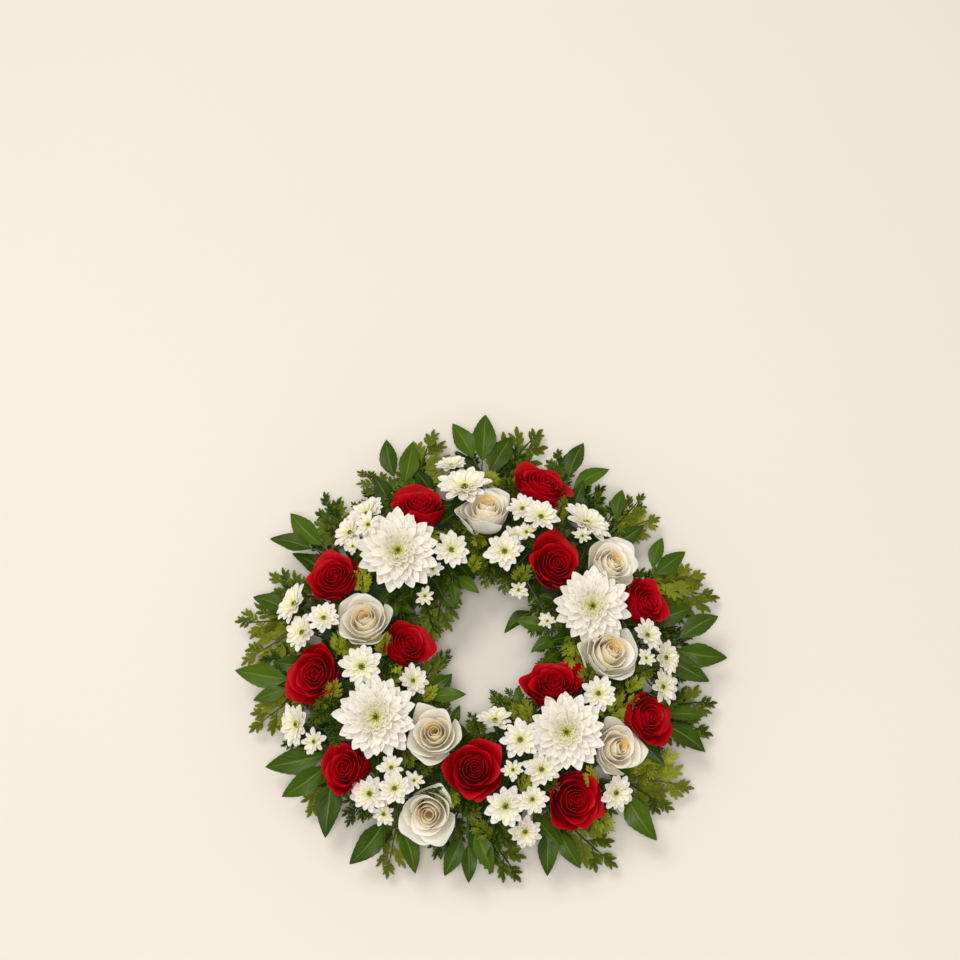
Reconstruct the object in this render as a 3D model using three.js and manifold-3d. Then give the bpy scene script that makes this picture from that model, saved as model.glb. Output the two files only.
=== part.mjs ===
// A funeral wreath lying on its back: a moulded tray ring filled with a ring of flower foam, and pushed into the
// foam on their own stems, red and white roses, big chrysanthemums, sprays of small ones, and bunches of greenery.
// Millimetres and degrees. +Z is up out of the flowers, +Y is the top of the wreath when it is stood up to be seen.
import * as THREE from "three";
import { mergeVertices } from "three/addons/utils/BufferGeometryUtils.js";
import Module from "manifold-3d";

const wasm = await Module();
wasm.setup();

// Driving sizes
const GAP = 0.3;
const RING_SIDES = 22;
const tray = { outer: 181, inner: 93, wall: 2.5, floor: 3, height: 18 };
const foam = { shoulder: 31, bevel: 17, top: 48 };
const stem = { rose: 2.6, chrysanthemum: 2.4, spray: 1.7, branch: 1.1, greenery: 2, depth: 28 };

// The flowers stand in a low crown over the middle of the ring and lower towards both its edges.
const crown = { radius: 137, halfWidth: 75, height: 98, drop: 28, lowest: 60 };

// The three kinds of flower head. A point in them is a share of the head's radius and a share of its depth, which is
// itself a share of the radius. Each row of petals is its tip and the notch between two petals, from the back up, heart
// is the depth at the middle of the face, and outside is a plain outline round it all.
const rose = {
  depth: 1.3,
  petals: 5,
  foot: 0.4,
  rows: [
    [[1.02, 0.72], [0.92, 0.64]],
    [[0.7, 0.7], [0.72, 0.76]],
    [[0.56, 0.94], [0.62, 0.98]],
  ],
  heart: 0.84,
  outside: [[0.44, 0], [1.05, 0.72], [0.66, 1]],
};
const chrysanthemum = {
  depth: 0.5,
  petals: 10,
  foot: 0.12,
  rows: [
    [[1, 0.52], [0.7, 0.4]],
    [[0.56, 0.56], [0.6, 0.6]],
    [[0.58, 0.86], [0.78, 0.84]],
    [[0.34, 1], [0.26, 0.8]],
  ],
  heart: 0.94,
  outside: [[0.16, 0], [1.04, 0.5], [0.84, 0.88], [0.34, 1.02]],
};
const bloom = {
  depth: 0.62,
  petals: 6,
  foot: 0.18,
  rows: [[[1, 0.72], [0.62, 0.56]]],
  heart: 1,
  outside: [[0.2, 0], [1.04, 0.7], [0.38, 1.02]],
};
const bud = { ...bloom, petals: 5, foot: 0.24 };

// Each rose: x, y, radius, how far it leans from straight up, and the direction that it leans in.
const redRoses = [
  { x: -70, y: 156, radius: 31, lean: 36, toward: 95 },
  { x: 72, y: 185, radius: 32, lean: 40, toward: 60 },
  { x: -165, y: 72, radius: 31, lean: 20, toward: 145 },
  { x: 84, y: 84, radius: 32, lean: 12, toward: 10 },
  { x: 187, y: 43, radius: 30, lean: 38, toward: 8 },
  { x: -78, y: -2, radius: 29, lean: 28, toward: 25 },
  { x: 79, y: -46, radius: 32, lean: 24, toward: 95 },
  { x: -184, y: -38, radius: 33, lean: 20, toward: 190 },
  { x: 186, y: -83, radius: 32, lean: 34, toward: -5 },
  { x: -150, y: -140, radius: 31, lean: 27, toward: 180 },
  { x: -8, y: -143, radius: 33, lean: 3, toward: -90 },
  { x: 102, y: -174, radius: 34, lean: 21, toward: -34 },
];
const whiteRoses = [
  { x: -129, y: 22, radius: 32, lean: 10, toward: 130 },
  { x: 5, y: 150, radius: 32, lean: 24, toward: 90 },
  { x: 147, y: 86, radius: 30, lean: 20, toward: 15 },
  { x: 142, y: -14, radius: 34, lean: 16, toward: 22 },
  { x: 149, y: -119, radius: 31, lean: 21, toward: -16 },
  { x: -52, y: -104, radius: 32, lean: 6, toward: 180 },
  { x: -58, y: -191, radius: 32, lean: 23, toward: -113 },
];

// Big chrysanthemums sit a little above the roses beside them, by rise.
const chrysanthemums = [
  { x: -91, y: 97, radius: 45, lean: 6, toward: -60, rise: 4 },
  { x: 122, y: 35, radius: 41, lean: 6, toward: -90, rise: 0 },
  { x: 91, y: -105, radius: 42, lean: 9, toward: -110, rise: 4 },
  { x: -113, y: -88, radius: 44, lean: 6, toward: -90, rise: 2 },
];

// Each spray is one stem that branches to its blooms.
const sprays = [
  [
    { x: -125, y: 126, radius: 15, lean: 13, toward: 150, rise: 12 },
    { x: -130, y: 149, radius: 23, lean: 45, toward: 125, rise: -4 },
    { x: -149, y: 124, radius: 21, lean: 42, toward: 160, rise: -3 },
    { x: -142, y: 103, radius: 10, lean: 20, toward: 180, rise: 2 },
  ],
  [
    { x: -32, y: 99, radius: 20, lean: 14, toward: -50 },
    { x: -53, y: 79, radius: 11, lean: 10, toward: -60, rise: -4 },
    { x: -61, y: 49, radius: 11, lean: 20, toward: -45 },
  ],
  [
    { x: -172, y: 23, radius: 18, lean: 15, toward: 120, rise: 4 },
    { x: -199, y: 10, radius: 20, lean: 35, toward: 175 },
    { x: -211, y: 46, radius: 24, lean: 50, toward: 160 },
  ],
  [
    { x: -19, y: 178, radius: 30, lean: 38, toward: 100 },
    { x: -34, y: 208, radius: 18, lean: 48, toward: 98, rise: -5 },
  ],
  [
    { x: 67, y: 136, radius: 20, lean: 22, toward: 60, rise: 7 },
    { x: 46, y: 148, radius: 17, lean: 20, toward: 90, rise: -3 },
    { x: 50, y: 119, radius: 12, lean: 8, toward: 90, rise: -2 },
  ],
  [
    { x: 26, y: 98, radius: 21, lean: 6, toward: -90 },
    { x: 38, y: 117, radius: 13, lean: 15, toward: 60, rise: -11 },
    { x: 41, y: 57, radius: 11, lean: 15, toward: -130 },
    { x: 72, y: 22, radius: 10, lean: 15, toward: 180 },
  ],
  [
    { x: 121, y: 137, radius: 29, lean: 48, toward: 50, rise: -6 },
    { x: 112, y: 113, radius: 11, lean: 20, toward: 45, rise: 6 },
  ],
  [
    { x: 184, y: 5, radius: 19, lean: 40, toward: 20, rise: 3 },
    { x: 180, y: -22, radius: 11, lean: 20, toward: 0, rise: 3 },
    { x: 206, y: -17, radius: 19, lean: 45, toward: 0, rise: -4 },
    { x: 202, y: -49, radius: 20, lean: 45, toward: 5, rise: -4 },
  ],
  [{ x: 127, y: -62, radius: 19, lean: 10, toward: -10 }],
  [
    { x: 15, y: -85, radius: 20, lean: 45, toward: 95 },
    { x: 42, y: -111, radius: 21, lean: 5, toward: 90 },
    { x: 34, y: -144, radius: 12, lean: 5, toward: -90, rise: -3 },
    { x: 65, y: -143, radius: 19, lean: 10, toward: -60, rise: -6 },
  ],
  [
    { x: 26, y: -183, radius: 22, lean: 20, toward: -95 },
    { x: 55, y: -176, radius: 16, lean: 18, toward: -60, rise: 7 },
    { x: 48, y: -208, radius: 18, lean: 35, toward: -75, rise: -4 },
  ],
  [{ x: 148, y: -165, radius: 20, lean: 35, toward: -30 }],
  [{ x: -129, y: -33, radius: 23, lean: 8, toward: -90 }],
  [{ x: -72, y: -45, radius: 17, lean: 25, toward: 10 }],
  [
    { x: -182, y: -111, radius: 15, lean: 28, toward: 200, rise: 6 },
    { x: -206, y: -89, radius: 24, lean: 50, toward: 190, rise: -3 },
  ],
  [
    { x: -92, y: -164, radius: 18, lean: 12, toward: -90, rise: 9 },
    { x: -121, y: -167, radius: 20, lean: 22, toward: -140, rise: -1 },
    { x: -96, y: -140, radius: 15, lean: 8, toward: 90, rise: -3 },
    { x: -71, y: -155, radius: 11, lean: 12, toward: -45, rise: -1 },
    { x: -105, y: -188, radius: 14, lean: 25, toward: -110, rise: -4 },
  ],
];

// Greenery: the direction of each bunch from the wreath's middle, then the direction and the reach of each tip.
const outerGreens = [
  { at: 90, leaves: [[97, 266], [89, 276], [82, 253]], ferns: [[75, 267]] },
  { at: 63, leaves: [[64, 268], [55, 257]], ferns: [[70, 250]] },
  { at: 42, leaves: [[49, 245]], ferns: [[44, 258], [38, 254]] },
  { at: 22, leaves: [[32, 242], [26, 257]], ferns: [[20, 266], [14, 272]] },
  { at: 0, leaves: [[8, 268], [-2, 274], [-8, 256]], ferns: [] },
  { at: -22, leaves: [[-17, 258], [-25, 272]], ferns: [[-12, 262], [-20, 268]] },
  { at: -45, leaves: [[-48, 284]], ferns: [[-34, 274], [-41, 270]] },
  { at: -68, leaves: [[-66, 264], [-74, 259]], ferns: [[-59, 274]] },
  { at: -94, leaves: [[-93, 257], [-99, 252], [-87, 246]], ferns: [[-81, 252]] },
  { at: -117, leaves: [[-106, 257], [-121, 276]], ferns: [[-113, 266]] },
  { at: -142, leaves: [[-129, 268], [-143, 272], [-151, 270]], ferns: [[-136, 259]] },
  { at: -168, leaves: [[-167, 258], [-175, 274]], ferns: [[-161, 266]] },
  { at: 170, leaves: [[167, 262]], ferns: [[174, 272], [-178, 264], [160, 252]] },
  { at: 148, leaves: [[152, 270], [144, 268]], ferns: [[135, 255]] },
  { at: 118, leaves: [[114, 268], [108, 255]], ferns: [[123, 252], [103, 264]] },
];
const innerGreens = [
  { at: 112, leaves: [[122, 50], [92, 58]], ferns: [[166, 54]] },
  { at: 10, leaves: [[36, 46], [-8, 62]], ferns: [] },
  { at: -62, leaves: [[-48, 62]], ferns: [[-62, 58], [-78, 60]] },
  { at: -140, leaves: [[-133, 46], [-106, 58]], ferns: [[-163, 50]] },
];
const greens = {
  outer: { start: 150, hub: 205, hubHeight: 44, tipHeight: 26 },
  inner: { start: 122, hub: 86, hubHeight: 60, tipHeight: 60 },
  apart: 0.15,
  lower: 3.2,
  leafHalfWidth: 11,
  fernHalfWidth: 9,
  thickness: 1.6,
};

const rad = THREE.MathUtils.degToRad;
const up = new THREE.Vector3(0, 0, 1);
const polar = (degrees, radius, z) =>
  new THREE.Vector3(radius * Math.cos(rad(degrees)), radius * Math.sin(rad(degrees)), z);

// Materials
const finish = (color, roughness) => new THREE.MeshStandardMaterial({ color, roughness, metalness: 0 });
const looks = {
  tray: finish("#1f3324", 0.5),
  foam: finish("#3f6b3a", 0.95),
  redRose: finish("#a30614", 0.55),
  whiteRose: finish("#f2ead2", 0.5),
  chrysanthemum: finish("#f4f1ea", 0.5),
  greenery: finish("#35591f", 0.42),
};

// A geometry with only positions, its shared points merged, as a solid
function solidFrom(geometry) {
  const bare = geometry.index ? geometry.toNonIndexed() : geometry.clone();
  bare.deleteAttribute("normal");
  bare.deleteAttribute("uv");
  const merged = mergeVertices(bare, 1e-3);
  return new wasm.Manifold(
    new wasm.Mesh({
      numProp: 3,
      vertProperties: merged.attributes.position.array,
      triVerts: new Uint32Array(merged.index.array),
    }),
  );
}

// A closed skin over a stack of loops of points, from a point at the bottom to one at the top. Each loop runs
// anticlockwise seen from above, and has as many points as the next, twice as many, or half as many.
function skin(bottom, loops, top) {
  const points = [];
  const add = (...corners) => corners.forEach((corner) => points.push(...corner.toArray()));
  const around = (loop, i) => loop[i % loop.length];
  const first = loops[0];
  const last = loops[loops.length - 1];
  first.forEach((p, i) => add(bottom, around(first, i + 1), p));
  loops.slice(1).forEach((high, level) => {
    const low = loops[level];
    const few = low.length < high.length ? low : high;
    few.forEach((p, i) => {
      if (low.length === high.length) {
        add(low[i], around(low, i + 1), around(high, i + 1));
        add(low[i], around(high, i + 1), high[i]);
      } else if (few === high) {
        add(low[2 * i], low[2 * i + 1], high[i]);
        add(low[2 * i + 1], around(high, i + 1), high[i]);
        add(low[2 * i + 1], around(low, 2 * i + 2), around(high, i + 1));
      } else {
        add(low[i], high[2 * i + 1], high[2 * i]);
        add(low[i], around(low, i + 1), high[2 * i + 1]);
        add(around(low, i + 1), around(high, 2 * i + 2), high[2 * i + 1]);
      }
    });
  });
  last.forEach((p, i) => add(p, around(last, i + 1), top));
  const geometry = new THREE.BufferGeometry();
  geometry.setAttribute("position", new THREE.Float32BufferAttribute(points, 3));
  return geometry;
}

// A flower's head, its foot at the origin and its face up. The foot is a small flat disc that the stem runs into.
function petalled(kind, radius) {
  const depth = kind.depth * radius;
  const foot = Array.from({ length: kind.petals }, (_, i) => polar((i * 360) / kind.petals, kind.foot * radius, 0));
  const rows = kind.rows.map((row) =>
    Array.from({ length: kind.petals * 2 }, (_, i) => {
      const [share, height] = row[i % 2];
      return polar((i * 180) / kind.petals, share * radius, height * depth);
    }),
  );
  return skin(new THREE.Vector3(), [foot, ...rows], new THREE.Vector3(0, 0, kind.heart * depth));
}

// The plain outside of a head, with no notches or hollows, which the pieces beside it are cut back from
function clearance(kind, radius) {
  const SIDES = 2 * kind.petals > 12 ? kind.petals : 2 * kind.petals;
  const loops = kind.outside.map(([share, height]) =>
    Array.from({ length: SIDES }, (_, i) =>
      polar((i * 360) / SIDES, share * radius, height * kind.depth * radius),
    ),
  );
  const [, top] = kind.outside[kind.outside.length - 1];
  return skin(new THREE.Vector3(), loops, new THREE.Vector3(0, 0, top * kind.depth * radius));
}

// A leaf blade or a fern sprig: flat above, with a keel below. Widths are pairs of the share of the way along it and
// the share of its half width.
function blade(base, tip, halfWidth, widths) {
  const along = tip.clone().sub(base);
  const across = new THREE.Vector3().crossVectors(up, along).normalize();
  const under = new THREE.Vector3().crossVectors(across, along).normalize();
  const loops = widths.map(([share, width]) => {
    const middle = base.clone().addScaledVector(along, share);
    const side = across.clone().multiplyScalar(width * halfWidth);
    return [
      middle.clone().add(side),
      middle.clone().sub(side),
      middle.clone().addScaledVector(under, greens.thickness * Math.min(1, width + 0.3)),
    ];
  });
  return skin(base, loops, tip);
}
const LEAF = [[0.42, 0.85], [0.68, 0.9]];
const FERN = [[0.34, 0.5], [0.52, 1], [0.64, 0.4], [0.8, 0.75]];

// A straight three-sided stem from one point to another
function stick(from, to, radius) {
  const SIDES = 3;
  const along = to.clone().sub(from);
  const turn = new THREE.Quaternion().setFromUnitVectors(up, along.clone().normalize());
  const geometry = new THREE.CylinderGeometry(radius, radius, along.length(), SIDES);
  geometry.rotateX(Math.PI / 2);
  geometry.translate(0, 0, along.length() / 2);
  geometry.applyQuaternion(turn);
  geometry.translate(...from);
  return solidFrom(geometry);
}

// Where a flower stands: the place of its face, the way it looks and the top of its stem
function stand(flower, kind) {
  const distance = Math.hypot(flower.x, flower.y);
  const share = (distance - crown.radius) / crown.halfWidth;
  const z = Math.max(crown.lowest, crown.height - crown.drop * share * share) + (flower.rise ?? 0);
  const axis = polar(flower.toward, Math.sin(rad(flower.lean)), Math.cos(rad(flower.lean)));
  const face = new THREE.Vector3(flower.x, flower.y, z);
  const back = face.clone().addScaledVector(axis, -flower.radius * kind.depth);
  return { axis, face, back, radius: flower.radius, kind };
}

// A head's geometry turned to look along its axis and set at its place, enlarged about its own middle by a length
function placed(geometry, place, enlarged = 0) {
  const scale = 1 + enlarged / place.radius;
  const middle = place.back.clone().lerp(place.face, 0.5);
  geometry.applyQuaternion(new THREE.Quaternion().setFromUnitVectors(up, place.axis));
  geometry.translate(...place.back.clone().sub(middle));
  geometry.scale(scale, scale, scale);
  geometry.translate(...middle);
  return solidFrom(geometry);
}
const headSolid = (place) => placed(petalled(place.kind, place.radius), place);
const headClearance = (place) => placed(clearance(place.kind, place.radius), place, 4 * GAP);

// A point on a head's axis inside it, where its stem ends
const within = (place, share) => place.back.clone().lerp(place.face, share);

// The point in the foam that a stem from above is pushed to
function rootOf(point) {
  const clock = THREE.MathUtils.radToDeg(Math.atan2(point.y, point.x));
  const distance = THREE.MathUtils.clamp(Math.hypot(point.x, point.y), 116, 158);
  return polar(clock, distance, foam.top - stem.depth);
}

// Every piece that stands in the foam: its name, its look, its stems, which can be thickened by a length, its heads,
// and the clearance round the heads.
const plants = [];

function addFlower(name, look, flower, kind, stemRadius) {
  const place = stand(flower, kind);
  plants.push({
    name,
    look,
    stems: (thicker) => [stick(rootOf(place.back), within(place, 0.2), stemRadius + 2 * thicker)],
    heads: [headSolid(place)],
    clearances: [headClearance(place)],
  });
}

// A spray's main stem goes up to its first bloom, and the others branch from it above the foam, one above the other.
function addSpray(name, flowers) {
  const places = flowers.map((flower) => stand(flower, flower.radius < 16 ? bud : bloom));
  const middle = new THREE.Vector3();
  places.forEach((place) => middle.addScaledVector(place.back, 1 / places.length));
  const root = rootOf(middle);
  const [main, ...others] = places;
  const atFoam = (foam.top + 2 - root.z) / (main.back.z - root.z);
  const forks = others.map((_, i) => root.clone().lerp(main.back, atFoam + ((0.9 - atFoam) * i) / others.length));
  plants.push({
    name,
    look: looks.chrysanthemum,
    stems: (thicker) => [
      stick(root, within(main, 0.3), stem.spray + 2 * thicker),
      ...others.map((place, i) => stick(forks[i], within(place, 0.3), stem.branch + 2 * thicker)),
    ],
    heads: places.map(headSolid),
    clearances: places.map(headClearance),
  });
}

// A bunch of greenery: its stem goes into the side of the foam, and its leaves, then its ferns, leave the stem one
// under the other.
function addGreens(name, bunch, form) {
  const root = polar(bunch.at, form.start, foam.shoulder - 3);
  const hub = polar(bunch.at, form.hub, form.hubHeight);
  const grow = ([degrees, reach], order, halfWidth, widths) => {
    const base = hub.clone().lerp(root, 0.04 + greens.apart * order);
    const tip = polar(degrees, reach, form.tipHeight - greens.lower * order);
    return solidFrom(blade(base, tip, halfWidth, widths));
  };
  plants.push({
    name,
    look: looks.greenery,
    stems: (thicker) => [stick(root, hub, stem.greenery + 2 * thicker)],
    heads: [
      ...bunch.leaves.map((end, i) => grow(end, i, greens.leafHalfWidth, LEAF)),
      ...bunch.ferns.map((end, i) => grow(end, bunch.leaves.length + i, greens.fernHalfWidth, FERN)),
    ],
    clearances: [],
  });
}

const numbered = (word, index) => word + "_" + String(index + 1).padStart(2, "0");

chrysanthemums.forEach((flower, i) =>
  addFlower(numbered("chrysanthemum", i), looks.chrysanthemum, flower, chrysanthemum, stem.chrysanthemum),
);
whiteRoses.forEach((flower, i) =>
  addFlower(numbered("white_rose", i), looks.whiteRose, flower, rose, stem.rose),
);
redRoses.forEach((flower, i) => addFlower(numbered("red_rose", i), looks.redRose, flower, rose, stem.rose));
sprays.forEach((blooms, i) => addSpray(numbered("spray_chrysanthemum", i), blooms));
outerGreens.forEach((bunch, i) => addGreens(numbered("outer_greenery", i), bunch, greens.outer));
innerGreens.forEach((bunch, i) => addGreens(numbered("inner_greenery", i), bunch, greens.inner));

// The tray is a shallow channel, and the foam in it has bevelled shoulders.
function ringSolid(profile) {
  return solidFrom(
    new THREE.LatheGeometry(
      profile.map(([r, z]) => new THREE.Vector2(r, z)),
      RING_SIDES,
    ).rotateX(Math.PI / 2),
  );
}
function traySolid() {
  const { outer, inner, wall, floor, height } = tray;
  return ringSolid([
    [inner, 0],
    [outer, 0],
    [outer, height],
    [outer - wall, height],
    [outer - wall, floor],
    [inner + wall, floor],
    [inner + wall, height],
    [inner, height],
    [inner, 0],
  ]);
}
function foamSolid() {
  const outer = tray.outer - tray.wall - GAP;
  const inner = tray.inner + tray.wall + GAP;
  const bottom = tray.floor + GAP;
  return ringSolid([
    [inner, bottom],
    [outer, bottom],
    [outer, foam.shoulder],
    [outer - foam.bevel, foam.top],
    [inner + foam.bevel, foam.top],
    [inner, foam.shoulder],
    [inner, bottom],
  ]);
}

const touches = (a, b) => {
  const p = a.boundingBox();
  const q = b.boundingBox();
  return [0, 1, 2].every((k) => p.min[k] <= q.max[k] && q.min[k] <= p.max[k]);
};
const cut = (solid, cutters) =>
  cutters.reduce((left, cutter) => (touches(left, cutter) ? left.subtract(cutter) : left), solid);
const largest = (solid) =>
  solid
    .decompose()
    .reduce((best, piece) => (piece.volume() > best.volume() ? piece : best));

// Heads give way to the heads before them, in the list and in their own spray, and to every other piece's stem.
const stemRooms = plants.map((plant) => plant.stems(GAP));
const headRooms = plants.map((plant) => plant.clearances);
const TOLERANCE = 0.1;
const tidy = (solid) => largest(solid.simplify(TOLERANCE));

function plantSolid(plant, index) {
  const otherStems = stemRooms.filter((_, i) => i !== index).flat();
  const earlierStems = stemRooms.slice(0, index).flat();
  const earlierHeads = headRooms.slice(0, index).flat();
  const heads = plant.heads.map((head, k) =>
    cut(head, [...earlierHeads, ...plant.clearances.slice(0, k), ...otherStems]),
  );
  const stems = plant.stems(0).map((one) => cut(one, earlierStems));
  return tidy([...stems, ...heads].reduce((sum, piece) => sum.add(piece)));
}

function meshOf(name, solid, look) {
  const { vertProperties, triVerts } = solid.getMesh();
  const geometry = new THREE.BufferGeometry();
  geometry.setAttribute("position", new THREE.BufferAttribute(vertProperties, 3));
  geometry.setIndex(new THREE.BufferAttribute(triVerts, 1));
  geometry.computeVertexNormals();
  const mesh = new THREE.Mesh(geometry, look);
  mesh.name = name;
  return mesh;
}

const wreath = new THREE.Group();
wreath.add(meshOf("backing_tray", traySolid(), looks.tray));
wreath.add(meshOf("foam_ring", tidy(cut(foamSolid(), [...stemRooms, ...headRooms].flat())), looks.foam));
plants.forEach((plant, i) => wreath.add(meshOf(plant.name, plantSolid(plant, i), plant.look)));

// The origin is the middle of the whole wreath, on the surface that it lies on.
const box = new THREE.Box3().setFromObject(wreath);
const centre = box.getCenter(new THREE.Vector3());
wreath.position.set(-centre.x, -centre.y, -box.min.z);

export default wreath;
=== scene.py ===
"""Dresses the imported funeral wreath: petals, leaves, sprigs, stems, foam, tray, floor, light and camera.

Flowers are placed in millimetres from the middle of the foam ring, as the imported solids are, and every
piece that stands for a solid is built where that solid is.
"""
import logging
import math
from dataclasses import dataclass, field, replace
from enum import Enum, IntEnum
from typing import Any, Callable, Sequence

import bpy
import numpy as np
from mathutils import Euler, Matrix, Vector


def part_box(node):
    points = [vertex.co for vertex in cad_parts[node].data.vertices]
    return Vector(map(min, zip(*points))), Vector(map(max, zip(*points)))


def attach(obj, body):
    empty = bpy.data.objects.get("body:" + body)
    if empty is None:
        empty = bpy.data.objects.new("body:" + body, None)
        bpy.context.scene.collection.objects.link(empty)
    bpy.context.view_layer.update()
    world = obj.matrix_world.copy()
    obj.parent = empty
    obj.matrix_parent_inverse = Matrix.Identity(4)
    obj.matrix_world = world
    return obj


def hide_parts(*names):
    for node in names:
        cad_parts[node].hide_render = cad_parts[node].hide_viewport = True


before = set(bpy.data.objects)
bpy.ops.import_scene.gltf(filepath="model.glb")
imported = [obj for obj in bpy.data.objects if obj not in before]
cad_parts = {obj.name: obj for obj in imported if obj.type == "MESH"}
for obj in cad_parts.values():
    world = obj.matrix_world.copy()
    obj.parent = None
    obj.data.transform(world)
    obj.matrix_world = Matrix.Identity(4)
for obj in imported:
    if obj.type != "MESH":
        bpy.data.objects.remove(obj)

LOG = logging.getLogger("wreath")
MM = 0.001
GOLDEN_DEGREES = 137.508
GOLDEN_TURN = math.radians(GOLDEN_DEGREES)
SHARP_EDGE = math.radians(62)
UP = Vector((0, 0, 1))
STEM_BEND = 0.45
Socket = bpy.types.NodeSocket

# How far below the flowers' faces the wreath is looked at from, which is the way that its roses hang
VIEW_TILT = math.radians(17)
FULL_HANG = 0.6

# How a rose gives way to its neighbours: from how near, over how many millimetres, how far under another
# flower's rim, and how narrow it may get, the other three in shares of a radius
TOUCHING = 1.05
PRESSED = 6
COVER = 0.85
NARROWEST = 0.6

# The crown that the flowers stand in and the foam under it, in millimetres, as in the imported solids
CROWN_RADIUS = 137
CROWN_HALF_WIDTH = 75
CROWN_HEIGHT = 98
CROWN_DROP = 28
CROWN_LOWEST = 60
FOAM_TOP = 48
STEM_DEPTH = 28
ROOT_NEAREST = 116
ROOT_FARTHEST = 158


class Finish(IntEnum):
    """The finishes, by their number in every mesh."""

    RED_PETAL = 0
    CREAM_PETAL = 1
    WHITE_PETAL = 2
    EYE_FLORET = 3
    BROAD_LEAF = 4
    FERN = 5
    STEM = 6


Palette = dict[Finish, bpy.types.Material]


class Bloom(Enum):
    """The kinds of flower head, by the depth of a head as a share of its radius."""

    ROSE = 1.3
    CHRYSANTHEMUM = 0.5
    SPRAY = 0.62


def linear(colour: str) -> tuple[float, float, float, float]:
    """Turns an sRGB hex colour to linear values.

    Args:
        colour: The colour, such as "#a30614".

    Returns:
        Red, green, blue and alpha, linear.
    """
    parts = [int(colour[i : i + 2], 16) / 255 for i in (1, 3, 5)]
    return (*[p / 12.92 if p <= 0.04045 else ((p + 0.055) / 1.055) ** 2.4 for p in parts], 1.0)


def add_node(
    tree: bpy.types.NodeTree,
    kind: str,
    links: dict | None = None,
    **settings: Any,
) -> bpy.types.Node:
    """Adds a node to a tree.

    Args:
        tree: A shader or geometry node tree.
        kind: The node's type.
        links: For each input, by name or number, the socket to link from or the value to set.
        settings: The node's own properties.

    Returns:
        The new node.
    """
    node = tree.nodes.new(kind)
    for name, value in settings.items():
        setattr(node, name, value)
    for socket, source in (links or {}).items():
        if isinstance(source, Socket):
            tree.links.new(source, node.inputs[socket])
        else:
            node.inputs[socket].default_value = source
    return node


class Graph:
    """A node tree of either kind, with short ways to add to it."""

    def __init__(self, tree: bpy.types.NodeTree) -> None:
        """Starts on a tree."""
        self.tree = tree

    def node(self, kind: str, links: dict | None = None, **settings: Any) -> bpy.types.Node:
        """Adds a node, with the arguments of add_node."""
        return add_node(self.tree, kind, links, **settings)

    def maths(self, operation: str, *values: Any) -> Socket:
        """Returns the result of a sum on sockets or numbers."""
        return self.node("ShaderNodeMath", dict(enumerate(values)), operation=operation).outputs[0]


# Meshes


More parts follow.
